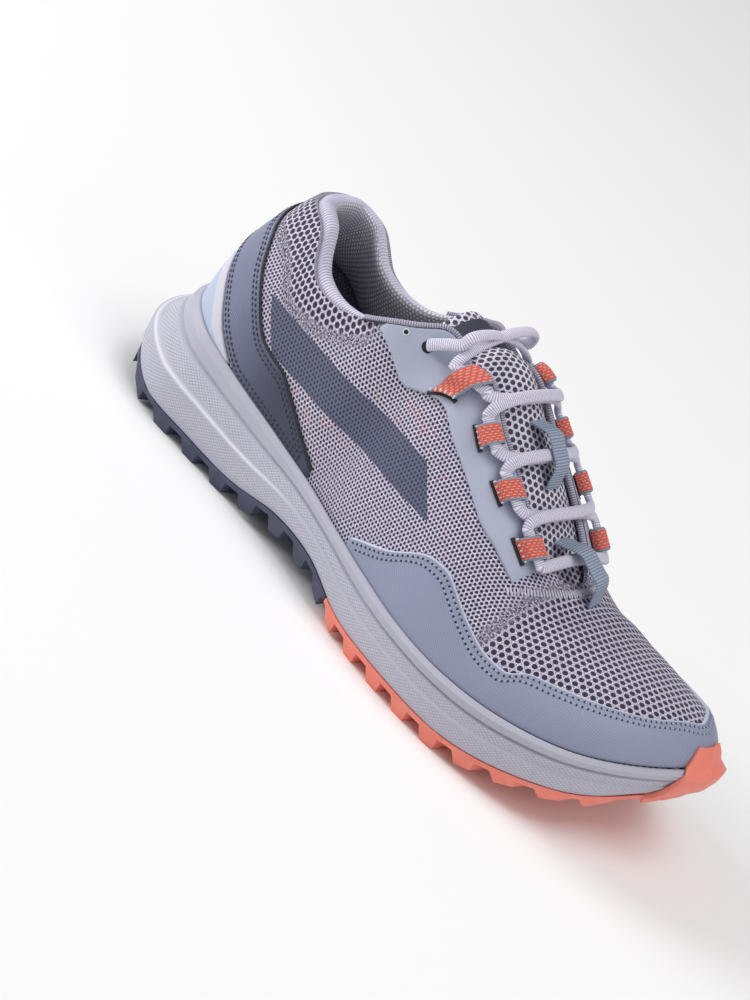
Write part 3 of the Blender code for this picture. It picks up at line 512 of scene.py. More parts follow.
@dataclass(frozen=True)
class OpenMesh(Finish):
    """Polyester air mesh: light threads round dark holes, fine on the quarter, wide on the vamp and the collar."""

    sheen: float = 0.15
    dark: str = "2a243a"
    pale: str = "e9e2f5"
    # painted shade where three threads meet on the vamp
    joint: str = "918da3"
    glint: str = "7a3236"  # what shows through some of the quarter's holes
    glint_mottle: Triple = (5.0, 0.50, 0.64)
    melange_mottle: Triple = (0.75, 0.42, 0.58)
    printed: str = "656985"
    printed_dark: str = "34364a"
    pitches: Triple = (1.75, 2.95, 3.1)  # quarter, vamp, collar band
    holes: Triple = (0.285, 0.30, 0.33)
    softness: float = 0.1
    depth: float = 0.5
    band_middle: Pair = (112.0, 38.5)  # of the plain printed band on the outer side
    band_size: Pair = (104.0, 15.0)
    band_turn: float = 7.0
    band_lean: float = 0.16

    def pattern(self, add: Adder) -> Pattern:
        """Draw the surface.

        Args:
            add: adds a node.
        Returns:
            Its height and colour.
        """
        quarter, vamp = (add(UV_MAP, uv_map=layer) for layer in ("flat", "vamp"))
        on_vamp, on_band, on_melange, on_glint = (
            add(WEIGHT, out="Fac", attribute_name="on_" + name) for name in ("vamp", "band", "melange", "glint"))
        reach = [honeycomb(add, place, pitch) for place, pitch in zip((quarter, vamp, quarter), self.pitches)]
        fine, wide, band = (add(RANGE, [r, hole, hole + self.softness], **SOFT) for r, hole in zip(reach, self.holes))
        joint = add(MATH, [add(RANGE, [reach[1], *JOINT], **SOFT), on_vamp], "MULTIPLY")
        thread = add(MIX, [on_vamp, None, fine, wide])
        thread = add(MIX, [on_band, None, thread, band])
        thread = add(MIX, [on_melange, None, thread, mottle(add, quarter, *self.melange_mottle)])
        yarn = add(COLOURS, [mottle(add, quarter, *YARN_MOTTLE), self.colour, self.pale])
        # painted shade where three threads meet on the vamp
        yarn = add(COLOURS, [joint, yarn, self.joint])
        warm = add(MATH, [mottle(add, quarter, *self.glint_mottle), on_glint], "MULTIPLY")
        hole = add(COLOURS, [warm, self.dark, self.glint])
        printed = self.side_band(add, quarter)
        yarn = add(COLOURS, [printed, yarn, self.printed])
        hole = add(COLOURS, [printed, hole, self.printed_dark])
        height = add(MATH, [joint, -0.5, thread], "MULTIPLY_ADD")
        return height, add(COLOURS, [thread, hole, yarn])

    def side_band(self, add: Adder, place: Any) -> Any:
        """Where the plain band is printed.

        Args:
            add: adds a node.
            place: the quarter's millimetres.
        Returns:
            1 on the band, a straight one with leaning ends, and 0 off it.
        """
        length, height = self.band_size
        own = add("ShaderNodeMapping",
                  {"Vector": place, "Location": (*self.band_middle, 0.0), "Scale": (length / 2, height / 2, 1.0),
                   "Rotation": (0.0, 0.0, math.radians(self.band_turn))}, vector_type="TEXTURE")
        along, up, _ = add("ShaderNodeSeparateXYZ", [own]).node.outputs
        along = add(MATH, [up, self.band_lean, along], "MULTIPLY_ADD")
        inside = [add(MATH, [way, 0.0, 1.0], "COMPARE") for way in (along, up)]
        return add(MATH, inside, "MULTIPLY")


@dataclass(frozen=True)
class HoneycombKnit(Finish):
    """Spacer mesh of one pitch, as on the tongue and the lining: threads round holes of another tone."""

    sheen: float = 0.15
    dark: str = "34303d"
    pale: str = "d2d0db"
    pitch: float = 2.9
    hole: float = 0.30
    softness: float = 0.12
    depth: float = 0.6
    # painted shade where three threads meet, where a colour is given
    joint: str = ""

    def pattern(self, add: Adder) -> Pattern:
        """Draw the surface.

        Args:
            add: adds a node.
        Returns:
            Its height and colour.
        """
        flat = add(UV_MAP, uv_map="flat")
        reach = honeycomb(add, flat, self.pitch)
        thread = add(RANGE, [reach, self.hole, self.hole + self.softness], **SOFT)
        yarn = add(COLOURS, [mottle(add, flat, *YARN_MOTTLE), self.colour, self.pale])
        # painted shade where three threads meet
        if self.joint:
            yarn = add(COLOURS, [add(RANGE, [reach, *JOINT], **SOFT), yarn, self.joint])
        return thread, add(COLOURS, [thread, self.dark, yarn])


class Grain(Enum):
    """How the face of a film is embossed."""

    TWILL = "twill"
    SMOOTH = "smooth"


@dataclass(frozen=True)
class Film(Finish):
    """Thermoplastic film welded on fabric: satin, with a fine embossed grain and slightly uneven colour."""

    shade: str = "808080"
    grain: Grain = Grain.SMOOTH
    depth: float = 0.06
    slope: Pair = (0.7, 0.7)
    twill: float = 0.9
    pores: float = 1.6  # to a millimetre of smooth film
    # second colour: painted highlight on the rand, painted shade on the counter, a real pale band on the heel patch
    second: str = ""

    def pattern(self, add: Adder) -> Pattern:
        """Draw the surface.

        Args:
            add: adds a node.
        Returns:
            Its height and colour.
        """
        flat = add(UV_MAP, uv_map="flat")
        if self.grain is Grain.TWILL:
            height = ribs(add, flat, self.slope, self.twill)
        else:
            height = add(NOISE, {"Vector": flat, "Scale": self.pores, "Detail": 2.0})
        # the colour follows the grain: on a twill, painted shade in its grooves; on smooth film, a random tone
        colour = add(COLOURS, [height, self.shade, self.colour])
        if self.second:
            share = add(WEIGHT, out="Fac", attribute_name="second_colour")
            colour = add(COLOURS, [share, colour, self.second])
        return height, colour


@dataclass(frozen=True)
class MidsoleFoam(Finish):
    """Moulded EVA: matt, with a fine diamond knurl on the bands below its rim."""

    shade: str = "a9a8b6"
    # painted highlight along the ridge
    ridge: str = "e6e5ee"
    pitch: float = 1.3
    stretch: float = 1.5
    bubbles: float = 2.2  # to a millimetre of plain foam
    bubble_height: float = 0.35
    depth: float = 0.22

    def pattern(self, add: Adder) -> Pattern:
        """Draw the surface.

        Args:
            add: adds a node.
        Returns:
            Its height and colour.
        """
        flat = add(UV_MAP, uv_map="flat")
        band, ridge = (add(WEIGHT, out="Fac", attribute_name=name) for name in ("on_knurl", "on_ridge"))
        fine = add(NOISE, {"Vector": flat, "Scale": self.bubbles, "Detail": 2.0})
        fine = add(MATH, [fine, self.bubble_height], "MULTIPLY")
        height = add(MIX, [band, None, fine, knurl(add, flat, self.pitch, self.stretch)])
        # the colour follows the height: painted shade in the knurl's hollows, a faint random tone on the plain foam
        colour = add(COLOURS, [add(RANGE, [height, 0.0, 0.55]), self.shade, self.colour])
        return height, add(COLOURS, [ridge, colour, self.ridge])


@dataclass(frozen=True)
class Rubber(Finish):
    """Moulded rubber: even colour with a faint bloom, fine matt texture."""

    bloom: str = "808080"
    bloom_mottle: Triple = (7.0, 0.35, 0.75)
    grit: float = 2.0  # to a millimetre
    depth: float = 0.10

    def pattern(self, add: Adder) -> Pattern:
        """Draw the surface.

        Args:
            add: adds a node.
        Returns:
            Its height and colour.
        """
        place = object_mm(add)
        grit = add(NOISE, {"Vector": place, "Scale": self.grit, "Detail": 3.0})
        colour = add(COLOURS, [mottle(add, place, *self.bloom_mottle), self.colour, self.bloom])
        return grit, colour


@dataclass(frozen=True)
class FleckedWebbing(Finish):
    """Woven polyester tape: coral with rows of pale flecks and blue-grey edges."""

    shade: str = "d4503a"
    fleck: str = "c4b3b6"
    selvedge: str = "8696a8"
    width: float = 8.6
    row: float = 1.02
    fleck_pitch: float = 1.9
    fleck_share: float = 0.55  # of the pitch
    fleck_half: float = 0.19  # of the row
    selvedge_width: float = 0.75
    weave: float = 0.8
    depth: float = 0.12

    def pattern(self, add: Adder) -> Pattern:
        """Draw the surface.

        Args:
            add: adds a node.
        Returns:
            Its height and colour.
        """
        flat = add(UV_MAP, uv_map="flat")
        along, across, _ = add("ShaderNodeSeparateXYZ", [flat]).node.outputs
        row = add(MATH, [across, self.row], "DIVIDE")
        stagger = add(MATH, [add(MATH, [row], "FLOOR"), 0.5], "MULTIPLY")
        step = add(MATH, [along, 1.0 / self.fleck_pitch, stagger], "MULTIPLY_ADD")
        dash = add(MATH, [add(MATH, [step], "FRACT"), self.fleck_share], "LESS_THAN")
        line = add(MATH, [add(MATH, [row], "FRACT"), 0.5, self.fleck_half], "COMPARE")
        fleck = add(MATH, [dash, line], "MULTIPLY")
        middle = add(MATH, [across, self.width / 2], "SUBTRACT")
        middle = add(MATH, [middle], "ABSOLUTE")
        edge = add(MATH, [middle, self.width / 2 - self.selvedge_width], "GREATER_THAN")
        weave = knurl(add, flat, self.weave)
        # the coral is darker in the weave's hollows: painted shade
        colour = add(COLOURS, [fleck, add(COLOURS, [weave, self.shade, self.colour]), self.fleck])
        return weave, add(COLOURS, [edge, colour, self.selvedge])


@dataclass(frozen=True)
class RibbedKnit(Finish):
    """Knit or webbing with ribs across it: light on the ribs, with painted shade between them."""

    sheen: float = 0.1
    shade: str = "808080"
    pitch: float = 1.1
    depth: float = 0.2
    cross_pitch: float = 0.9
    cross_lean: float = 0.35
    cross_height: float = 0.35

    def pattern(self, add: Adder) -> Pattern:
        """Draw the surface.

        Args:
            add: adds a node.
        Returns:
            Its height and colour.
        """
        flat = add(UV_MAP, uv_map="flat")
        yarn = ribs(add, flat, (self.cross_lean, 1.0), self.cross_pitch)
        yarn = add(MATH, [yarn, self.cross_height, 1.0 - self.cross_height], "MULTIPLY_ADD")
        height = add(MATH, [ribs(add, flat, (1.0, 0.0), self.pitch), yarn], "MULTIPLY")
        # the colour follows the ribs: painted shade between them
        colour = add(COLOURS, [add(RANGE, [height, 0.1, 0.6]), self.shade, self.colour])
        return height, colour


@dataclass(frozen=True)
class Thread(Finish):
    """Sewing thread: twisted polyester, slightly glossy."""

    twist: Pair = (0.6, 0.8)
    pitch: float = 0.5
    depth: float = 0.05

    def pattern(self, add: Adder) -> Pattern:
        """Draw the surface.

        Args:
            add: adds a node.
        Returns:
            Its height and colour.
        """
        return ribs(add, object_mm(add), self.twist, self.pitch), None


class Finishes:
    """The shoe's materials, made once each."""

    # Warp-knitted air mesh: pale melange threads round dark holes, so the side looks open, soft and a little purple.
    # The quarter's holes are about 1.3 mm apart in life and are drawn at 1.75 mm, because finer ones don't show.
    UPPER = OpenMesh("polyester_air_mesh", "aca4c0", 0.85, "upper_mesh")
    # Brushed knit inside the shoe: dull and dark, with pale points. The points are drawn twice as far apart as in life.
    LINING = HoneycombKnit("knitted_lining", "726d8b", 0.9, "upper_mesh", dark="aeaac1", pale="7c7891", pitch=1.8,
                           hole=0.17)
    # The same knit over the collar's pad: stretched, so it is paler and its white points stand out. It is made paler
    # still as painted light where the collar faces the lamps. Drawn coarser too.
    ROLL_LINING_AND_PAINTED_LIGHT = HoneycombKnit("knitted_collar_lining_and_painted_light", "aea9c2", 0.9, "collar_knit", dark="ffffff", pale="bdb8cf",
                                pitch=1.6, hole=0.25)
    # Thick spacer mesh: near-white rings round deep dark holes, at their real 2.9 mm. Painted shade darkens the yarn
    # where three threads meet.
    TONGUE = HoneycombKnit("spacer_mesh_tongue", "d2cde3", 0.85, "tongue_mesh", dark="423c54", pale="fbf8ff",
                           hole=0.29, joint="a5a1b6")
    # Rib knit over foam: soft pale ribs with painted grey shade between them, and no gloss.
    COLLAR = RibbedKnit("ribbed_collar_knit", "e2dff0", 0.85, "collar_knit", shade="b6b2ca", pitch=1.2)
    # Narrow folded rib knit: a grey corded edge. Its ribs are drawn at 0.9 mm, coarser than life.
    EDGING = RibbedKnit("knit_edge_binding", "bcb9ca", 0.85, "collar_knit", shade="7d798e", pitch=0.9)
    # Embossed polyurethane film: satin slate blue, with a faint twill that is drawn coarser than its real 0.4 mm, and a
    # painted highlight along its top edge.
    RAND = Film("grained_tpu_film_rand", "959ab3", 0.5, "rand_film", shade="8b90aa", grain=Grain.TWILL, depth=0.04,
                slope=(0.45, 0.89), twill=0.8, second="c3c8d8")
    # Smooth polyurethane film: even pale blue-grey with a soft satin light on it.
    EYESTAY = Film("smooth_tpu_film_eyestay", "b3b8cc", 0.5, "eyestay_film", shade="a9afc4", depth=0.03)
    # The same film in slate, with steep twill lines drawn coarser than life. Painted shade darkens it towards its
    # front ends.
    COUNTER = Film("twill_tpu_film_counter", "7e829d", 0.45, "counter_film", shade="6c708c", grain=Grain.TWILL,
                   depth=0.06, slope=(0.95, 0.3), twill=0.95, second="353950")
    # Matt film on the heel: icy blue below, with a nearly white band along its top.
    PATCH = Film("pale_tpu_film_heel", "b9c4da", 0.6, "heel_patch_film", shade="aebad1", depth=0.05, second="cdccd9")
    # Woven label: dark and plain, with a fine twill in it.
    LABEL = Film("woven_label", "3b3d4d", 0.6, "label_film", shade="2e3040", grain=Grain.TWILL, depth=0.05)
    # Moulded foam: matt lilac white. The mould's diamond knurl catches the light, and a painted highlight runs along
    # the ridge at the heel.
    FOAM = MidsoleFoam("moulded_eva_foam", "c8c6d5", 0.6, "midsole_foam")
    # Hard-wearing carbon rubber: dark slate, matt, with a faint bloom.
    DARK_RUBBER = Rubber("carbon_rubber_slate", "40445a", 0.65, "dark_rubber", bloom="4b4f66")
    # Blown rubber: clear coral, a little glossier where the mould was polished.
    CORAL_RUBBER = Rubber("blown_rubber_coral", "f18472", 0.5, "coral_rubber", bloom="f48d7b")
    # Jacquard tape: bright coral with rows of pale flecks. The weave under them is drawn at 0.8 mm, coarser than life.
    WEBBING = FleckedWebbing("flecked_polyester_webbing", "f4694d", 0.75, "loop_webbing")
    # Grosgrain tape: clear blue-grey ribs across it, at their real 1.1 mm.
    KEEPER = RibbedKnit("ribbed_polyester_webbing", "a2aec1", 0.75, "keeper_webbing", shade="76829a", pitch=1.1)
    # Braided lace: off-white, fine ribs across it with painted grey shade in their grooves, drawn coarser than life.
    LACE = RibbedKnit("braided_polyester_lace", "e9e5f3", 0.8, "lace_knit", shade="aaa5c0", pitch=0.8, depth=0.12,
                      cross_pitch=1.2)
    # Cloth on foam, deep in the shoe: dark and dull, with a fine mesh.
    INSOLE = HoneycombKnit("cloth_faced_insole", "4a4756", 0.9, "insole_foam", dark="2f2d38", pale="57546a", pitch=1.6)
    # Twisted threads: small glossy beads. The twist is drawn at 0.5 mm, coarser than life, to show at all.
    DARK_THREAD = Thread("indigo_polyester_thread", "23253a", 0.5)
    RAND_THREAD = Thread("grey_polyester_thread", "a4abc2", 0.5)
    PALE_THREAD = Thread("pale_polyester_thread", "d4d3de", 0.55)
    # Cord in a black cover: a thin dark line along an edge. It also makes the dark line of painted shadow beside the
    # collar's edge binding.
    BLACK_PIPING_AND_PAINTED_SHADOW = Thread("black_piping_and_painted_shadow", "17171f", 0.5)

    @staticmethod
    @cache
    def material(finish: Finish) -> Material:
        """The material of a finish, made on first use."""
        return finish.make()


def placed(name: str, data: Any) -> Piece:
    """Put a new object in the scene, at the origin.

    Args:
        name: the object's name.
        data: its mesh, light or camera data.
    Returns:
        The object.
    """
    made = bpy.data.objects.new(name, data)
    bpy.context.scene.collection.objects.link(made)
    return made


def baked(source: Piece, name: str) -> Piece:
    """Turn an object and its modifiers into a piece with a plain mesh.

    Args:
        source: the object, which is removed.
        name: the piece's name.
    Returns:
        The piece.
    """
    graph = bpy.context.evaluated_depsgraph_get()
    mesh = bpy.data.meshes.new_from_object(source.evaluated_get(graph))
    mesh.name = name
    bpy.data.objects.remove(source, do_unlink=True)
    return placed(name, mesh)


class Patchwork:
    """Grids of points that make up one piece, with its flat millimetres and point weights."""

    def __init__(self) -> None:
        """Start with nothing."""
        self.points: list[Array] = []
        self.quads: list[Array] = []
        self.maps: dict[str, list[Array]] = {"flat": []}
        self.weights: dict[str, list[Array]] = {}
        self.finish: list[Array] = []
        self.count = 0

    def grid(self, points: Array, flat: Array | Mapping[str, Array] | None = None, closed: bool = False,
             finish: int = 0, keep: Array | None = None, weights: Mapping[str, Array] | None = None) -> None:
        """Add faces over a grid of points.

        Args:
            points: rows and columns of points.
            flat: flat millimetres of each point, or several named maps of them.
            closed: whether the last row leads back to the first; flat then has one more row.
            finish: number of the material.
            keep: which spans between rows to keep.
            weights: named point weights of the same layout.
        """
        rows, columns = points.shape[:2]
        numbers = self.count + np.arange(rows * columns).reshape(rows, columns)
        self.count += rows * columns
        self.points.append(points.reshape(-1, 3))
        if closed:
            numbers = np.concatenate([numbers, numbers[:1]])
        if flat is None:
            flat = flat_map(run_length(points, 0)[:, columns // 2, None], run_length(points, 1))
            flat = np.concatenate([flat, flat[-1:]]) if closed else flat
        maps = flat if isinstance(flat, Mapping) else {"flat": flat}
        spans = np.ones(len(numbers) - 1, bool) if keep is None else keep

        def corners(values: Array) -> Array:
            """Values at the corners of each kept face."""
            four = np.stack((values[:-1, :-1], values[1:, :-1], values[1:, 1:], values[:-1, 1:]), axis=2)[spans]
            return four.reshape((-1,) + four.shape[2:])

        self.quads.append(corners(numbers))
        for name, values in maps.items():
            self.maps.setdefault(name, []).append(corners(values))
        for name, values in (weights or {}).items():
            self.weights.setdefault(name, []).append(np.asarray(values, float).reshape(-1))
        self.finish.append(np.full(len(self.quads[-1]), finish))

    def slab(self, outer: Array, inner: Array, flat: Array, weights: Mapping[str, Array] | None = None) -> None:
        """Add a closed plate between two grids of the same size.

        Args:
            outer: the points of its outer face.
            inner: the points of its inner face.
            flat: flat millimetres of both.
            weights: named point weights of both.
        """
        self.grid(outer, flat, weights=weights)
        self.grid(inner, flat, weights=weights)
        for border in (np.s_[0], np.s_[-1], np.s_[:, 0], np.s_[:, -1]):
            pair = {name: np.stack([values[border]] * 2, axis=1) for name, values in (weights or {}).items()}
            self.grid(np.stack([outer[border], inner[border]], axis=1), np.stack([flat[border]] * 2, axis=1),
                      weights=pair)

    def tube(self, rings: Array, flat: Array | None = None, part: tuple[int, int] | None = None) -> None:
        """Add a tube through rings of points, with its ends drawn together.

        Args:
            rings: points round the tube at each step.
            flat: flat millimetres, with one more column than the rings.
            part: first and last column of a lengthwise part that has the second material.
        """
        ends = [end.mean(axis=1, keepdims=True).repeat(rings.shape[1], 1) for end in (rings[:1], rings[-1:])]
        rings = np.concatenate([ends[0], rings, ends[1]])
        rings = np.concatenate([rings, rings[:, :1]], axis=1)
        if flat is not None:
            flat = np.concatenate([flat[:1], flat, flat[-1:]])
        if part is None:
            self.grid(rings, flat)
            return
        bounds = (0, *part, rings.shape[1] - 1)
        for finish, first, last in zip((0, 1, 0), bounds, bounds[1:]):
            self.grid(rings[:, first:last + 1], flat[:, first:last + 1], finish=finish)

    def rope(self, points: Array, ways: Array, size: Pair, sides: int, power: float = 2.0, girth: float = 0.0) -> None:
        """Add a tube with an oval or rounded oblong section along a line.

        Args:
            points: the line.
            ways: the way out at each point; the section's flat side faces it.
            size: width and height of the section.
            sides: points in a ring.
            power: 2 for an oval, more for a squarer section.
            girth: flat millimetres round it, where a pattern follows them.
        """
        along = unit(np.gradient(points, axis=0))
        across = unit(np.cross(along, ways))
        up = np.cross(across, along)
        turns = np.arange(sides) * 2 * math.pi / sides
        wide, high = (np.sign(part) * np.abs(part) ** (2 / power) / 2 for part in (np.cos(turns), np.sin(turns)))
        rings = (points[:, None] + across[:, None] * wide[None, :, None] * size[0]
                 + up[:, None] * high[None, :, None] * size[1])
        flat = flat_map(run_length(points)[:, None], np.linspace(0.0, girth, sides + 1)) if girth else None
        self.tube(rings, flat)

    def make(self, name: str, *finishes: Finish, sharp: float = 50.0) -> Piece:
        """Turn the grids into one object in the frame.

        Args:
            name: the piece's name.
            *finishes: its materials, by number.
            sharp: degrees from which an edge is kept sharp.
        Returns:
            The object.
        """
        mesh = bpy.data.meshes.new(name)
        mesh.from_pydata(((np.concatenate(self.points) - CENTRE) * MM).tolist(), [],
                         np.concatenate(self.quads).tolist())
        for layer, values in self.maps.items():
            uv = mesh.uv_layers.new(name=layer)
            uv.data.foreach_set("uv", np.concatenate(values).astype(np.float32).ravel())
        for weight, values in self.weights.items():
            attribute = mesh.attributes.new(weight, "FLOAT", "POINT")
            attribute.data.foreach_set("value", np.concatenate(values).astype(np.float32))
        mesh.polygons.foreach_set("material_index", np.concatenate(self.finish).astype(np.int32))
        for finish in finishes:
            mesh.materials.append(Finishes.material(finish))
        work = bmesh.new()
        work.from_mesh(mesh)
        bmesh.ops.remove_doubles(work, verts=work.verts, dist=0.005 * MM)
        bmesh.ops.dissolve_degenerate(work, edges=work.edges, dist=0.0005 * MM)
        bmesh.ops.recalc_face_normals(work, faces=work.faces)
        work.to_mesh(mesh)
        work.free()
        mesh.shade_smooth()
        mesh.set_sharp_from_angle(angle=math.radians(sharp))
        return placed(name, mesh)


@dataclass
class StitchRows:
    """Rows of stitches laid along lines by Geometry Nodes."""

    pitch: float
    length: float
    width: float
    height: float
    lines: list[tuple[Array, Array]] = field(default_factory=list)

    def along(self, stations: Array, shares: Array, lift: float) -> None:
        """Add a row on the upper, by stations and shares, at a height over its face."""
        self.lines.append((LAST.lifted(stations, shares, lift), LAST.normal(stations, shares)))

    @staticmethod
    @cache
    def tree() -> Tree:
        """Make the node tree, once.

        Returns:
            A tree that sets a rounded stitch at even steps along each line.
        """
        made = bpy.data.node_groups.new("stitch_rows", "GeometryNodeTree")
        sockets = {"Lines": "Geometry", "Pitch": "Float", "Length": "Float", "Width": "Float", "Height": "Float",
                   "Material": "Material"}
        for name, kind in sockets.items():
            made.interface.new_socket(name, in_out="INPUT", socket_type="NodeSocket" + kind)
        made.interface.new_socket("Stitches", in_out="OUTPUT", socket_type="NodeSocketGeometry")
        add = partial(add_node, made)
        given = made.nodes.new("NodeGroupInput").outputs
        curve = add("GeometryNodeMeshToCurve", [given["Lines"]])
        steps = add("GeometryNodeResampleCurve", {"Curve": curve, "Length": given["Pitch"]}, mode="LENGTH")
        bead = add("GeometryNodeMeshUVSphere", {"Segments": 8, "Rings": 5, "Radius": 0.5})
        out = add("GeometryNodeInputNamedAttribute", {"Name": "way_out"}, data_type="FLOAT_VECTOR")
        upright = add("FunctionNodeAlignRotationToVector", {"Vector": out}, axis="Z")
        turned = add("FunctionNodeAlignRotationToVector",
                     {"Rotation": upright, "Vector": add("GeometryNodeInputTangent")}, axis="X", pivot_axis="Z")
        size = add("ShaderNodeCombineXYZ", [given["Length"], given["Width"], given["Height"]])
        beads = add("GeometryNodeInstanceOnPoints",
                    {"Points": steps, "Instance": bead, "Rotation": turned, "Scale": size})
        solid = add("GeometryNodeRealizeInstances", [beads])
        smooth = add("GeometryNodeSetShadeSmooth", [solid])
        add("NodeGroupOutput",
            [add("GeometryNodeSetMaterial", {"Geometry": smooth, "Material": given["Material"]})])
        return made

    def make(self, name: str, finish: Finish) -> Piece:
        """Lay the stitches and turn them into a plain mesh.

        Args:
            name: the piece's name.
            finish: the thread.
        Returns:
            The object.
        """
        points, ways, edges = [], [], []
        for line, out in self.lines:
            first = len(points)
            points.extend(((line - CENTRE) * MM).tolist())
            ways.extend(out.tolist())
            edges.extend((first + i, first + i + 1) for i in range(len(line) - 1))
        mesh = bpy.data.meshes.new(name)
        mesh.from_pydata(points, edges, [])
        attribute = mesh.attributes.new("way_out", "FLOAT_VECTOR", "POINT")
        attribute.data.foreach_set("vector", np.array(ways, np.float32).ravel())
        rows = placed(name + "_rows", mesh)
        modifier = rows.modifiers.new("stitches", "NODES")
        modifier.node_group = self.tree()
        given = {"Pitch": self.pitch * MM, "Length": self.length * MM, "Width": self.width * MM,
                 "Height": self.height * MM, "Material": Finishes.material(finish)}
        for item in modifier.node_group.interface.items_tree:
            if item.name in given:
                modifier[item.identifier] = given[item.name]
        return baked(rows, name)


class Assembly:
    """A group of pieces that go on the shoe."""

    def settle(self, piece: Piece, finish: Finish, *nodes: str) -> None:
        """Let a piece ride on the shoe.

        Args:
            piece: the piece.
            finish: not used.
            *nodes: the frame's nodes that it stands for.
        """
        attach(piece, "root")
        if nodes:
            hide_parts(*nodes)
        LOG.info("%s: %d faces", piece.name, len(piece.data.polygons))


@dataclass
class Upper(Assembly):
    """The mesh upper with its lining, open at the collar, the throat and underneath."""

    columns: int = 12  # ribs for each section
    rows: int = 47
    vamp_line: float = 9.0  # section where the wide mesh begins, at the next share
    vamp_share: float = 0.75
    vamp_lean: float = 0.22  # sections that the line leans forward for a whole share
    vamp_blend: Pair = (-0.03, 0.05)
    band_depth: Rows = ((0.0, 11.0), (1.5, 14.5), (2.6, 13.5), (3.6, 9.5), (4.6, 7.0))  # of the band under the collar
    band_front: Pair = (4.75, 4.5)
    band_blend: float = 0.8
    melange: Pair = (2.2, 1.7)  # how far below the band its knit edge is, and how wide
    vamp_melange: Pair = (0.02, 0.07)  # the same before the vamp, in sections
    glint_middle: Pair = (4.6, 0.42)
    glint_reach: Pair = (2.6, 0.2)

    def mesh_weights(self, station: Array, share: Array) -> dict[str, Array]:
        """Where each kind of mesh lies.

        Args:
            station: around the foot.
            share: up the rib.
        Returns:
            Weights of the vamp's mesh, of the collar's band, of the knit at their edges, and of the glint.
        """
        section = LAST.from_heel(station) * np.ones_like(share)
        below = (1.0 - share) * LAST.rib_scale(station, np.full_like(share, 0.8))
        line = self.vamp_line + self.vamp_lean * (self.vamp_share - share)
        vamp = smoothstep(line + self.vamp_blend[0], line + self.vamp_blend[1], section)
        in_band = smoothstep(*self.band_front, section)
        depth = eased(self.band_depth, section)
        band = smoothstep(depth + self.band_blend, depth - self.band_blend, below) * in_band
        melange = np.maximum(np.exp(-(((below - depth - self.melange[0]) / self.melange[1]) ** 2)) * in_band,
                             np.exp(-(((section - line + self.vamp_melange[0]) / self.vamp_melange[1]) ** 2)))
        glint = np.exp(-(((section - self.glint_middle[0]) / self.glint_reach[0]) ** 2)
                       - ((share - self.glint_middle[1]) / self.glint_reach[1]) ** 2) * (1.0 - vamp)
        return {"on_vamp": vamp, "on_band": band, "on_melange": np.clip(melange, 0.0, 1.0), "on_glint": glint}

    def vamp_map(self, stations: Array, rows: Array, outer: Array) -> Array:
        """Flat millimetres of the vamp, which run over the ridge from side to side.

        Args:
            stations: around the foot.
            rows: shares of a whole rib.
            outer: points of the upper's outer face.
        Returns:
            Millimetres across from the ridge and along it.
        """
        level = np.linspace(0.0, 300.0, 601)
        ridge_x, ridge_z = (LAST.value(name, np.linspace(0.0, HALF, 401)) for name in ("top_x", "top_z"))
        ridge = run_length(np.stack([level, np.interp(level, ridge_x, ridge_z)], axis=-1))
        in_section = np.array((0.0, 1.0, 1.0))
        whole = run_length(LAST.skin(stations[:, None], rows[None, :]) * in_section, 1)[:, -1:]
        side = np.where(stations < HALF, -1.0, 1.0)[:, None]
        return flat_map(side * (whole - run_length(outer * in_section, 1)), np.interp(outer[..., 0], level, ridge))

    def build(self) -> None:
        """Build the upper and let it stand for the frame's."""
        count = RING * self.columns
        stations = np.arange(count + 1) / self.columns
        rows = np.linspace(0.0, 1.0, self.rows)
        shares = LAST.edge_share(stations)[:, None] * rows
        outer, inner = (LAST.lifted(stations[:, None], shares, lift) for lift in (0.0, -WALL))
        around = run_length(LAST.skin(stations, FLAT_SHARE))
        maps = {"flat": flat_map(around[:, None], run_length(outer, 1)), "vamp": self.vamp_map(stations, rows, outer)}
        weights = self.mesh_weights(stations[:-1, None], shares[:-1])
        work = Patchwork()
        for finish, face in enumerate((outer, inner)):
            work.grid(face[:-1], maps, closed=True, finish=finish, weights=weights)
        open_edge = LAST.from_heel((stations[:-1] + stations[1:]) / 2) < THROAT_BASE[1]
        for row, finish, keep in ((0, 1, np.ones(count, bool)), (-1, 2, open_edge)):
            rim = np.stack([outer[:-1, row], inner[:-1, row]], axis=1)
            flat, pair = ({name: np.stack([values[:, row]] * 2, axis=1) for name, values in table.items()}
                          for table in (maps, weights))
            work.grid(rim, flat, closed=True, keep=keep, finish=finish, weights=pair)
        piece = work.make("upper_shell", Finishes.UPPER, Finishes.LINING, Finishes.EDGING)
        self.settle(piece, Finishes.UPPER, "upper")


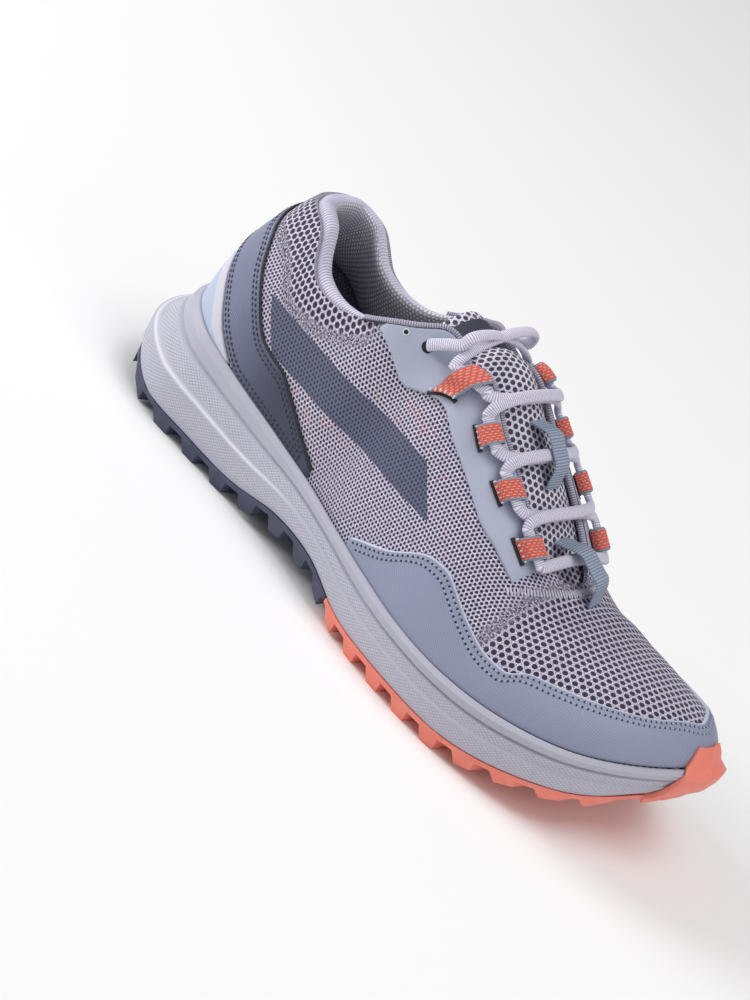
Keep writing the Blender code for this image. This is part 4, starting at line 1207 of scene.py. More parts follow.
@dataclass
class Panels(Assembly):
    """The films welded on the upper, with their seams."""

    per_section: int = 16
    bevel: float = 0.9
    bevel_steps: tuple[float, ...] = (0.0, 0.06, 0.22, 0.5, 1.0)
    patch_band: float = 6.5  # of the heel patch's pale edge
    rand_highlight_band: float = 0.6  # of the painted highlight along the rand's top edge
    # sections from the heel over which the counter's painted shade comes in
    counter_shade_fade: Pair = (1.8, 4.0)
    counter_end: float = 5.0
    counter_rows: Pair = (1.7, 3.5)  # of stitches, from the edge
    patch_end: float = 2.67
    rand_start: float = 6.33
    rand_rows: Pair = (2.0, 4.3)
    eyestay_span: Pair = (4.67, 8.67)
    counter_front: Rows = ((0.0, 0.85), (0.5, 0.82), (1.35, 0.715), (1.9, 0.60), (2.55, 0.515), (3.1, 0.46),
                           (3.6, 0.445), (4.05, 0.35), (4.55, 0.22), (5.1, 0.11), (5.5, 0.05))
    counter_back: Rows = ((0.0, 0.55), (0.85, 0.475), (1.7, 0.325), (2.15, 0.24), (2.7, 0.16), (2.95, 0.13),
                          (3.3, 0.05))
    rand_top: Rows = ((6.2, 0.05), (7.05, 0.165), (7.75, 0.32), (8.15, 0.36), (8.8, 0.35), (9.35, 0.33),
                      (9.65, 0.335), (9.9, 0.415), (10.35, 0.465), (10.9, 0.525), (11.65, 0.62), (12.6, 0.78),
                      (13.0, 0.80))
    seam: Rows = ((8.74, 0.60), (8.86, 0.70), (9.0, 0.82), (9.08, 0.92), (9.1, 1.0))
    eyestay_low: Rows = ((4.65, 0.97), (5.0, 0.82), (5.45, 0.60), (6.0, 0.54), (6.45, 0.52), (6.95, 0.545),
                         (7.75, 0.56), (8.2, 0.60), (8.7, 0.64))

    def stations(self, start: float, end: float) -> Array:
        """Closely set stations from start to end."""
        return np.linspace(start, end, int(round((end - start) * self.per_section)) + 1)

    def film(self, stations: Array, low: Array, high: Array, band: float | None = None) -> Patchwork:
        """A film between two shares at each station, rounded off along its edges.

        Args:
            stations: around the foot.
            low: its lower edge.
            high: its upper edge.
            band: width of its second colour along the top, a painted highlight on the rand and a real pale band on the
            heel patch; without it that colour grows towards the front, as painted shade on the counter.
        Returns:
            The film's grids.
        """
        width = (high - low) * LAST.rib_scale(stations, (low + high) / 2)
        edge = np.minimum(self.bevel, 0.2 * width)
        wide = band is not None and band > self.bevel
        split = np.clip(width - band, 0.3 * width, 0.75 * width) if wide else width / 2
        slit = np.minimum(0.15, 0.02 * width)
        first = edge[:, None] * np.array(self.bevel_steps)
        body = np.linspace(0.0, 1.0, 8)
        under = edge[:, None] + (split - slit - edge)[:, None] * body[1:]
        over = (split + slit)[:, None] + (width - edge - split - slit)[:, None] * body[:-1]
        reach = np.concatenate([first, under, over, width[:, None] - first[:, ::-1]], axis=1)
        shares = low[:, None] + (high - low)[:, None] * reach / width[:, None]
        ends = run_length(LAST.skin(stations, (low + high) / 2))
        near_end = np.minimum(ends, ends[-1] - ends)[:, None]
        near = np.minimum(np.minimum(reach, width[:, None] - reach), near_end)
        outer = LAST.lifted(stations[:, None], shares, GAP + OVERLAY * rounded_edge(near, self.bevel))
        inner = LAST.lifted(stations[:, None], shares, 0.3 * GAP)
        around, scale = run_length(LAST.skin(stations, FLAT_SHARE)), LAST.rib_scale(stations, FLAT_SHARE)
        flat = flat_map(around[:, None], shares * scale[:, None])
        # without a band, the second colour comes in towards the front ends: painted shade on the counter
        if band is None:
            second = smoothstep(*self.counter_shade_fade, LAST.from_heel(stations))[:, None] + 0.0 * reach
        else:
            second = (reach > (split if wide else width - band)[:, None]).astype(float)
        work = Patchwork()
        work.slab(outer, inner, flat, {"second_colour": second})
        return work

    @staticmethod
    def inset(stations: Array, shares: Array, distance: float) -> Array:
        """An edge's shares moved up its ribs by a distance."""
        return shares + distance / LAST.rib_scale(stations, shares)

    def build(self) -> None:
        """Build the films and their seams."""
        self.counter()
        self.heel_patch()
        self.toe_rand()
        self.eyestays()
        self.throat_seam()

    def counter(self) -> None:
        """The heel counter, with two rows of stitches along each edge and piping on its front edge."""
        stations = self.stations(-self.counter_end, self.counter_end)
        rim = LAST.rim_share(stations)
        front = eased(self.counter_front, np.abs(stations))
        back = np.minimum(np.maximum(eased(self.counter_back, np.abs(stations)), rim), front - 0.01)
        piece = self.film(stations, back, front).make("heel_counter_film", Finishes.COUNTER)
        self.settle(piece, Finishes.COUNTER, "heel_counter")
        rows = StitchRows(pitch=2.2, length=1.6, width=0.85, height=0.5)
        clear = front - back > 0.09
        for edge, sign in ((front, -1.0), (back, 1.0)):
            for distance in self.counter_rows:
                shares = self.inset(stations, edge, sign * distance)
                keep = clear & (shares > rim + 0.012)
                for run in np.split(np.arange(len(stations)), np.flatnonzero(np.diff(keep.astype(int))) + 1):
                    if keep[run[0]] and len(run) > 3:
                        rows.along(stations[run], shares[run], GAP + OVERLAY + 0.05)
        self.settle(rows.make("heel_counter_stitches", Finishes.DARK_THREAD), Finishes.COUNTER)
        above = front > rim + 0.005
        line, share = stations[above], front[above]
        work = Patchwork()
        work.rope(LAST.lifted(line, self.inset(line, share, 0.35), 0.55), LAST.normal(line, share), (1.0, 1.0), 8)
        self.settle(work.make("heel_counter_piping", Finishes.BLACK_PIPING_AND_PAINTED_SHADOW), Finishes.COUNTER)

    def heel_patch(self) -> None:
        """The film below the counter."""
        stations = self.stations(-self.patch_end, self.patch_end)
        rim = LAST.rim_share(stations)
        high = np.maximum(eased(self.counter_back, np.abs(stations)) - 0.015, rim + 0.01)
        piece = self.film(stations, rim, high, self.patch_band).make("heel_patch_film", Finishes.PATCH)
        self.settle(piece, Finishes.PATCH, "heel_patch")

    def toe_rand(self) -> None:
        """The film round the toe, with two rows of stitches along its top edge and their needle holes."""
        stations = self.stations(self.rand_start, RING - self.rand_start)
        rim = LAST.rim_share(stations)
        high = np.maximum(eased(self.rand_top, LAST.from_heel(stations)), rim + 0.01)
        piece = self.film(stations, rim, high, self.rand_highlight_band).make("toe_rand_film", Finishes.RAND)
        self.settle(piece, Finishes.RAND, "toe_rand")
        threads = StitchRows(pitch=2.1, length=1.15, width=0.75, height=0.55)
        holes = StitchRows(pitch=2.1, length=1.1, width=1.0, height=0.25)
        for distance in self.rand_rows:
            shares = self.inset(stations, high, -distance)
            keep = shares > rim + 0.02
            line, share = stations[keep], shares[keep]
            holes.along(line, share, GAP + OVERLAY + 0.02)
            # The threads' row starts half a stitch further on, so they lie between the holes
            points, ways = spaced(LAST.lifted(line, share, GAP + OVERLAY), LAST.normal(line, share), threads.pitch / 4)
            threads.lines.append((points[2:], unit(ways[2:])))
        self.settle(holes.make("toe_rand_needle_holes", Finishes.DARK_THREAD), Finishes.RAND)
        self.settle(threads.make("toe_rand_stitches", Finishes.RAND_THREAD), Finishes.RAND)

    def eyestays(self) -> None:
        """The films along the sides of the throat."""
        for side in Side:
            stations = side.station(self.stations(*self.eyestay_span))
            stations = stations if side is Side.LATERAL else stations[::-1]
            high = LAST.edge_share(stations)
            low = np.minimum(eased(self.eyestay_low, LAST.from_heel(stations)), high - 0.05)
            piece = self.film(stations, low, high).make(f"eyestay_film_{side.value}", Finishes.EYESTAY)
            self.settle(piece, Finishes.EYESTAY, f"eyestay_{side.value}")

    def throat_seam(self) -> None:
        """The overcast seam that joins the vamp below the eyestays, from side to side."""
        stitches = StitchRows(pitch=1.35, length=0.75, width=3.8, height=1.0)
        line = through(np.array(self.seam), 10)
        for side in Side:
            stitches.along(side.station(line[:, 0]), line[:, 1], 0.3)
        self.settle(stitches.make("throat_seam", Finishes.PALE_THREAD), Finishes.UPPER)


@dataclass
class Collar(Assembly):
    """The padded, ribbed roll inside the collar, and the binding of its edge."""

    end: float = 4.67
    pad: Pair = (6.5, 1.6)
    rise: float = 0.35
    rows: tuple[float, ...] = (0.61, 0.74, 0.87, 1.0)  # shares of the rib from the roll's foot to the edge
    fill: tuple[float, ...] = (1.0, 1.0, 0.8, 0.35)  # of the pad, from the edge down to its foot
    turns: tuple[float, ...] = (20, 55, 90, 125, 160)  # degrees over the top
    rib: float = 1.2
    rib_height: float = 0.16
    ribbed: tuple[int, int] = (6, 22)  # points round the roll between which it is ribbed
    edging: Pair = (2.5, 2.1)
    edge_line: Pair = (0.7, 0.9)
    edging_span: Pair = (4.35, 8.75)

    def ring(self, stations: Array) -> Array:
        """Points round the roll at each station.

        Args:
            stations: around the heel, from one front end to the other.
        Returns:
            The rings, as (stations, points, 3).
        """
        fullness = smoothstep(self.end + 0.3, self.end - 1.6, np.abs(stations))
        pad = self.pad[1] + (self.pad[0] - self.pad[1]) * fullness
        inside = WALL + GAP
        across = LAST.normal(stations, 1.0)
        across[:, 2] = 0.0
        across = unit(across)
        edge = LAST.edge_share(stations)
        rings = [LAST.lifted(stations, row * edge, -inside) for row in self.rows]
        for turn in np.radians(self.turns):
            drop = (inside + pad / 2 * (1.0 - math.cos(turn)))[:, None] * across
            lift = (self.rise * pad * math.sin(turn))[:, None] * np.array((0.0, 0.0, 1.0))
            rings.append(LAST.skin(stations, 1.0) - drop + lift)
        for row, share in zip(self.rows[::-1], self.fill):
            rings.append(LAST.lifted(stations, row * edge, -(inside + 0.4 + pad * share)))
        return np.stack(rings, axis=1)

    def build(self) -> None:
        """Build the roll."""
        coarse = np.linspace(-self.end, self.end, 181)
        length = run_length(LAST.skin(coarse, 1.0))
        steps = np.arange(0.0, length[-1], self.rib / 6)
        stations = np.interp(steps, length, coarse)
        rings = through(self.ring(stations).transpose(1, 0, 2), 3, closed=True).transpose(1, 0, 2)
        spots = run_length(np.concatenate([rings, rings[:, :1]], axis=1), 1)
        first, last = self.ribbed
        column = np.arange(rings.shape[1])
        wave = np.abs(np.sin(math.pi * steps / self.rib))[:, None, None] - 0.6
        wave = wave * ((column >= first) & (column <= last))[None, :, None]
        rings = rings + unit(rings - rings.mean(axis=1, keepdims=True)) * wave * self.rib_height
        work = Patchwork()
        work.tube(rings, flat_map(steps[:, None], spots), self.ribbed)
        piece = work.make("collar_roll", Finishes.ROLL_LINING_AND_PAINTED_LIGHT, Finishes.COLLAR)
        self.settle(piece, Finishes.COLLAR, "collar_cuff")
        self.edge_bindings()

    def edge_bindings(self) -> None:
        """The knit binding along the collar's front and the throat, with a dark line of painted shadow beside it."""
        lines = (("edge_binding", Finishes.EDGING, 0.55, -0.2, self.edging),
                 ("edge_shadow", Finishes.BLACK_PIPING_AND_PAINTED_SHADOW, -0.55, 0.75, self.edge_line))
        for side in Side:
            stations = side.station(np.linspace(*self.edging_span, 200))
            edge = LAST.edge_share(stations)
            for name, finish, inward, lift, size in lines:
                points = LAST.lifted(stations, edge, lift) + LAST.up_rib(stations, edge) * inward
                points, ways = spaced(points, LAST.normal(stations, edge), 0.3)
                work = Patchwork()
                work.rope(points, unit(ways), size, 14, girth=math.pi * size[0])
                self.settle(work.make(f"{name}_{side.value}", finish), Finishes.COLLAR)


@dataclass
class Tongue(Assembly):
    """The padded tongue and its plain label."""

    top: float = 4.8
    fold: float = 5.67
    end: float = 9.33
    thickness: float = 3.6
    rise: Triple = (-19.0, 0.0, 4.5)
    crown: Rows = ((5.67, 9.0), (6.3, 6.5), (7.0, 5.0), (7.7, 3.8), (8.3, 1.8), (8.7, 0.0))
    flat_half: float = 0.7  # share of the half width that lies between the throat's sides
    wing: float = 0.13  # share of the rib that the rest reaches down inside the upper
    slack: float = 0.2
    dip: Triple = (1.2, 8.2, 8.7)  # millimetres that its base dips, and between which sections
    label: float = 0.7
    label_start: float = 5.02
    label_half: float = 0.5

    def point(self, station: Number, across: Number, lift: Number) -> Array:
        """A point over the tongue's outer face.

        Args:
            station: section along the tongue.
            across: from -1 at its outer edge to 1 at its inner edge.
            lift: millimetres off the face.
        Returns:
            The points.
        """
        station, across, lift = np.broadcast_arrays(station, across, lift)
        held = np.maximum(station, self.fold)
        depth = -(WALL + GAP + self.slack + self.dip[0] * smoothstep(*self.dip[1:], held)) + lift
        wing = self.wing * np.clip((np.abs(across) - self.flat_half) / (1.0 - self.flat_half), 0.0, 1.0)
        sides = [LAST.lifted(side, LAST.throat_share(side) - wing, depth) for side in (held, RING - held)]
        blend = np.clip(0.5 + across / (2 * self.flat_half), 0.0, 1.0)[..., None]
        bulge = np.interp(held, *zip(*self.crown))[..., None] * (1.0 - (2.0 * blend - 1.0) ** 2)
        edge = LAST.throat_share(held)
        vault = unit(LAST.normal(held, edge) + LAST.normal(RING - held, edge))
        free = np.maximum(self.fold - station, 0.0)[..., None]
        return sides[0] * (1.0 - blend) + sides[1] * blend + vault * bulge + np.array(self.rise) * free

    def pad(self, stations: Array, columns: Array, low: float, high: float, bevel: float) -> Patchwork:
        """A plate over the tongue, rounded off along its edges.

        Args:
            stations: along it.
            columns: across it.
            low: lift of its underside.
            high: lift of its top.
            bevel: how far in the rounding reaches.
        Returns:
            The plate's grids.
        """
        face = self.point(stations[:, None], columns[None, :], high)
        along, over = run_length(face, 0), run_length(face, 1)
        near = np.minimum(np.minimum(along, along[-1:] - along), np.minimum(over, over[:, -1:] - over))
        rounding = rounded_edge(near, bevel)
        middle = (low + high) / 2
        outer, inner = (self.point(stations[:, None], columns[None, :], middle + (lift - middle) * rounding)
                        for lift in (high, low))
        centre = len(columns) // 2
        work = Patchwork()
        work.slab(outer, inner, flat_map(along[:, centre, None], over - over[:, centre, None]))
        return work

    def build(self) -> None:
        """Build the tongue and the label."""
        stations = np.concatenate([self.top + np.array((0.0, 0.02, 0.06, 0.12)),
                                   np.linspace(self.top + 0.18, self.end, 120)])
        columns = np.concatenate([[-1.0, -0.995, -0.98], np.linspace(-1.0, 1.0, 41)[1:-1], [0.98, 0.995, 1.0]])
        piece = self.pad(stations, columns, -self.thickness, 0.0, 2.0).make("tongue_pad", Finishes.TONGUE)
        self.settle(piece, Finishes.TONGUE, "tongue")
        work = self.pad(np.linspace(self.label_start, self.fold, 24),
                        np.linspace(-self.label_half, self.label_half, 33), GAP, GAP + self.label, 0.7)
        self.settle(work.make("tongue_label_patch", Finishes.LABEL), Finishes.LABEL, "tongue_label")


@dataclass
class LaceLine:
    """The lace's line as it is laid: its points, and the way out of the shoe at each."""

    points: list[Array] = field(default_factory=list)
    ways: list[Array] = field(default_factory=list)

    def go(self, point: Array, way: Array) -> None:
        """Go straight on to a point."""
        self.points.append(point)
        self.ways.append(way)

    def run_to(self, end: Array, end_way: Array, end_out: Array, middle: Array, count: int = 9,
               fullness: float = 0.9, stiffness: float = 0.55) -> None:
        """Run from the last point to just short of the next place.

        Args:
            end: the next place.
            end_way: the way it comes in there.
            end_out: the way out of the shoe there.
            middle: what it passes half way.
            count: how many points.
            fullness: how wide its hump is.
            stiffness: how far it holds its ways.
        """
        start, start_out = self.points[-1], self.ways[-1]
        start_way = unit(start - self.points[-2])
        reach = stiffness * np.linalg.norm(end - start)
        half_way = 0.5 * (start + end) + 0.125 * reach * (start_way - end_way)
        for t in np.linspace(0.0, 1.0, count)[1:-1]:
            point = hermite(t, start, start_way * reach, end, end_way * reach)
            hump = np.sin(math.pi * t) ** (1.0 / fullness)
            self.go(point + hump * (middle - half_way), unit(start_out * (1 - t) + end_out * t))


@dataclass
class Lacing(Assembly):
    """The lace, its webbing loops and the keepers over it."""

    tongue: Tongue
    loops: Rows = ((6.17, 14.0, 0.015, -1.4), (6.95, 11.0, 0.015, -3.2), (7.7, 11.0, 0.012, -3.2),
                   (8.44, 11.0, 0.008, -3.0))  # station, reach, slant and the front of its eye
    eye_width: float = 6.0
    eye_height: float = 3.3
    seat: float = 0.6
    webbing: float = 0.8
    loop_width: float = 8.6
    keeper_width: float = 9.0
    keeper_way: Triple = (0.55, 0.0, 0.84)  # the way that the keepers arch
    lace: Pair = (4.6, 2.5)
    lace_girth: float = 11.55
    lace_end: Rows = ((1.7, 1.3), (2.3, 3.75))  # where it dives into the eyelet: ahead and down
    top_eyelet: Pair = (5.35, 0.87)
    top_hole: Triple = (5.312, 0.862, 2.5)  # section, share and radius
    spare_hole: Triple = (5.01, 0.955, 0.95)
    strand_rise: float = 1.3
    top_strand_rise: float = 6.0
    overhang: float = 2.6
    edge_ahead: float = 0.3  # sections from the top eyelet to where the lace comes over the throat's edge
    edge_rise: float = 3.2
    base_bar: Pair = (8.72, 3.4)  # section and height of the lowest strand's middle
    keeper_tongue: Triple = (6.83, 7.72, 6.6)  # first and last section, and height
    keeper_base: Triple = (8.36, 9.35, 8.0)

    def loop_point(self, station: Array, slant: float, inward: Array, lift: Array) -> Array:
        """Points on a lace loop.

        Args:
            station: along the throat.
            slant: stations that it slants for each millimetre.
            inward: millimetres inward of the throat's edge, or back over the eyestay where negative.
            lift: millimetres off the upper.
        Returns:
            The points.
        """
        station = station + slant * inward * np.where(station < HALF, 1.0, -1.0)
        edge = LAST.throat_share(station)
        length = np.linalg.norm(LAST.skin(station, edge) - LAST.skin(station, edge - 0.1), axis=-1) / 0.1
        back = LAST.lifted(station, edge + np.minimum(inward, 0.0) / length, lift)
        return back + LAST.up_rib(station, edge) * np.maximum(inward, 0.0)[..., None]

    @staticmethod
    def station_step(station: float, distance: float) -> float:
        """How many stations a distance along the throat's edge is."""
        edge = LAST.edge_share(station)
        return float(distance / np.linalg.norm(LAST.skin(station + 0.5, edge) - LAST.skin(station - 0.5, edge)))

    def loop_seat(self, reach: float) -> float:
        """Height of a loop's underside over the upper."""
        return GAP + OVERLAY + self.seat * (reach / self.loops[-1][1]) ** 2

    def loop(self, side: Side, number: int) -> None:
        """One webbing loop: sewn down flat, folded round an eye that carries the lace.

        Args:
            side: the side of the throat.
            number: which loop, from 1 at the top.
        """
        station, reach, slant, front = self.loops[number - 1]
        place = side.station(station)
        seat = self.loop_seat(reach)
        half = self.webbing / 2
        low, high = seat + half, seat + self.webbing * 1.5 + self.eye_height
        back = front - self.eye_width
        shoulder = (back - reach) / 2
        path = through(np.array((
            (-reach, low), (shoulder, low), (back, low), (front - 1.0, low), (front - 0.1, low + 0.45),
            (front + half, (low + high) / 2), (front - 0.1, high - 0.45), (front - 1.0, high), (back, high),
            (shoulder, seat + 2.2 - half), (-reach, seat + self.webbing * 1.5))), 6)
        across = np.linspace(-1.0, 1.0, 13)
        slope = np.gradient(path, axis=0)
        normal = unit(np.stack([slope[:, 1], -slope[:, 0]], axis=-1))
        bevel = np.sqrt(1.0 - np.clip((np.abs(across) - 0.9) / 0.1, 0.0, 1.0) ** 2) * half
        stations = place + self.station_step(place, self.loop_width / 2) * across
        faces = []
        for sign in (1.0, -1.0):
            inward, lift = np.moveaxis(path[:, None, :] + sign * normal[:, None, :] * bevel[None, :, None], -1, 0)
            faces.append(self.loop_point(stations + 0.0 * inward, slant, inward, lift))
        work = Patchwork()
        work.slab(*faces, flat_map(run_length(path)[:, None], (across + 1) * self.loop_width / 2))
        piece = work.make(f"webbing_loop_{side.value}_{number}", Finishes.WEBBING)
        self.settle(piece, Finishes.WEBBING, f"lace_loop_{side.value}_{number}")

    def loop_slots(self) -> None:
        """The dark slot that each loop comes out of, with the stitches that hold it."""
        slots = Patchwork()
        tacks = StitchRows(pitch=1.9, length=0.7, width=1.7, height=0.5)
        across = np.linspace(-1.0, 1.0, 21)
        level = np.ones(len(across))
        for side in Side:
            for station, reach, slant, _ in self.loops:
                place = side.station(station)
                width = self.station_step(place, self.loop_width / 2 + 1.0) * across
                line = self.loop_point(place + width, slant, (-reach - 0.2) * level, (GAP + OVERLAY + 0.35) * level)
                out = LAST.normal(place + width, LAST.throat_share(place) - 0.1)
                slots.rope(line, out, (1.7, 1.0), 10, 2.6)
                lift = self.loop_seat(reach) + 2 * self.webbing + 0.05
                tack = self.loop_point(place + 0.8 * width, slant, (-reach + 0.3) * level, lift * level)
                tacks.lines.append((tack, out))
        self.settle(slots.make("loop_slots", Finishes.BLACK_PIPING_AND_PAINTED_SHADOW), Finishes.EYESTAY)
        self.settle(tacks.make("loop_bar_tacks", Finishes.PALE_THREAD), Finishes.WEBBING)

    def lace_seat(self, loop: Sequence[float], along: float) -> tuple[Array, Array]:
        """Centre of the lace in a loop and the way out of the shoe there.

        Args:
            loop: station, reach, slant and the front of its eye.
            along: millimetres along the throat's edge from the loop's middle.
        Returns:
            The point and the way out.
        """
        station, reach, slant, front = loop
        turn = 1 if station < HALF else -1
        place = np.float64(station + np.sign(along) * self.station_step(station, abs(along)) * turn)
        lift = np.float64(self.loop_seat(reach) + self.webbing + self.eye_height / 2)
        point = self.loop_point(place, slant, np.float64(front - self.eye_width / 2), lift)
        return point, LAST.normal(place, LAST.edge_share(place))

    def pass_loop(self, line: LaceLine, loop: Sequence[float]) -> None:
        """Run through a loop's eye."""
        for along in np.array((1.0, 0.8, -0.8, -1.0)) * (self.loop_width / 2 + self.overhang):
            line.go(*self.lace_seat(loop, along))

    def over_eyestay(self, station: float, share: float) -> tuple[Array, Array]:
        """A place for the lace on the eyestay, and the way out there."""
        lift = GAP + OVERLAY + GAP + self.lace[1] / 2 + 0.7
        return LAST.lifted(station, share, lift), LAST.normal(station, share)

    def crossing(self, first: float, second: float, lift: float) -> Array:
        """The middle of the tongue half way between two stations."""
        return self.tongue.point(0.5 * (LAST.from_heel(first) + LAST.from_heel(second)), 0.0, lift)

    def climb(self, stops: Sequence[Sequence[float]], over: bool, end_side: Side) -> LaceLine:
        """Run up the throat from loop to loop and into the top eyelet.

        Args:
            stops: the loops, from the lowest up.
            over: whether the first crossing lies over the other strand.
            end_side: the side of the top eyelet.
        Returns:
            The line.
        """
        line = LaceLine()
        overhang = self.loop_width / 2 + self.overhang
        low_layer = self.strand_rise + self.lace[1] / 2
        layers = (low_layer, low_layer + self.lace[1] + GAP)
        for here, above in zip(stops, stops[1:]):
            self.pass_loop(line, here)
            end, end_out = self.lace_seat(above, overhang)
            past, _ = self.lace_seat(above, overhang + 1.0)
            line.run_to(end, unit(end - past), end_out, self.crossing(here[0], above[0], layers[over]))
            over = not over
        self.pass_loop(line, stops[-1])
        section, share = self.top_eyelet
        last, last_out = self.over_eyestay(end_side.station(section), share)
        ahead = section + self.edge_ahead
        edge, edge_out = self.over_eyestay(end_side.station(ahead), LAST.edge_share(ahead))
        edge = edge + edge_out * self.edge_rise
        middle = self.crossing(stops[-1][0], section, layers[over] + self.top_strand_rise)
        line.run_to(edge, unit(last - edge), edge_out, middle, fullness=1.1, stiffness=0.3)
        line.go(edge, edge_out)
        line.go(0.5 * (edge + last) + 0.3 * edge_out, edge_out)
        line.go(last, last_out)
        return line

    def route(self) -> tuple[Array, Array]:
        """Lay the lace from one top eyelet to the other.

        Returns:
            Its line and the way out of the shoe along it.
        """
        lateral = list(self.loops)
        medial = [(RING - station, *rest) for station, *rest in self.loops]
        down = self.climb([lateral[3], medial[2], lateral[1], medial[0]], True, Side.LATERAL)
        up = self.climb([medial[3], lateral[2], medial[1], lateral[0]], False, Side.MEDIAL)
        line = LaceLine(down.points[::-1], down.ways[::-1])
        section, height = self.base_bar
        middle = LAST.skin(section, 1.0) + np.array((0.0, 0.0, height))
        line.run_to(up.points[0], unit(up.points[1] - up.points[0]), up.ways[0], middle, 13)
        return np.array(line.points + up.points), np.array(line.ways + up.ways)

    def lace_piece(self) -> None:
        """The lace, braided and oval, which dives into an eyelet at each end."""
        points, ways = self.route()
        ends = []
        for index, back in ((0, 1), (-1, -2)):
            way = unit(points[index] - points[back])
            ends.append([points[index] + way * ahead - ways[index] * dive for ahead, dive in self.lace_end])
        points = np.concatenate([ends[0][::-1], points, ends[1]])
        ways = np.concatenate([np.repeat(ways[:1], 2, 0), ways, np.repeat(ways[-1:], 2, 0)])
        points, ways = spaced(through(points, 8), through(ways, 8), 0.4)
        work = Patchwork()
        work.rope(points, unit(ways), self.lace, 20, 2.3, self.lace_girth)
        self.settle(work.make("braided_lace", Finishes.LACE), Finishes.LACE, "laces")

    def keepers(self) -> None:
        """The straps of ribbed webbing that arch over the lace, on the tongue and at the throat's base."""
        seat = GAP + self.webbing / 2
        way = np.array(self.keeper_way)
        t = np.linspace(0.0, 1.0, 11)[:, None]
        arch = np.clip(np.sin(math.pi * t) * 1.5 - 0.1, 0.0, 1.0)
        ends = (self.tongue.point(self.keeper_tongue[1], 0.0, seat), LAST.lifted(self.keeper_base[1], 1.0, seat))
        for place, sizes, end in zip(("tongue", "base"), (self.keeper_tongue, self.keeper_base), ends):
            start = self.tongue.point(sizes[0], 0.0, seat)
            points = through(start * (1 - t) + end * t + way * sizes[2] * arch, 16)
            work = Patchwork()
            work.rope(points, np.repeat(way[None], len(points), 0), (self.keeper_width, self.webbing), 24, 5.0,
                      2 * (self.keeper_width + self.webbing))
            self.settle(work.make(f"{place}_keeper", Finishes.KEEPER), Finishes.KEEPER, f"lace_keeper_{place}")

    def holes(self) -> None:
        """The punched eyelets at the top of the eyestays, with a rim round the small one."""
        work, rims = Patchwork(), Patchwork()
        turns = np.linspace(0.0, 2 * math.pi, 25)
        for side in Side:
            for section, share, radius in (self.top_hole, self.spare_hole):
                station = side.station(section)
                middle, out = LAST.lifted(station, share, GAP + OVERLAY + 0.02), LAST.normal(station, share)
                first = unit(np.cross(out, np.array([0.0, 1.0, 0.2])))
                rim = first * np.cos(turns)[:, None] + np.cross(out, first) * np.sin(turns)[:, None]
                rows = [middle + rim * radius * reach + out * lift
                        for reach, lift in ((0.0, 0.06), (0.8, 0.06), (1.0, 0.03), (1.02, -0.3))]
                work.grid(np.stack(rows, axis=1))
                if radius == self.spare_hole[2]:
                    rims.rope(middle + rim * 1.15 * radius, np.repeat(out[None], 25, 0), (0.5, 0.5), 8)
        self.settle(work.make("top_eyelets", Finishes.BLACK_PIPING_AND_PAINTED_SHADOW), Finishes.EYESTAY)
        self.settle(rims.make("spare_hole_rims", Finishes.PALE_THREAD), Finishes.EYESTAY)

    def build(self) -> None:
        """Build the lace and what holds it."""
        for side in Side:
            for number in range(1, len(self.loops) + 1):
                self.loop(side, number)
        self.loop_slots()
        self.lace_piece()
        self.holes()
        self.keepers()


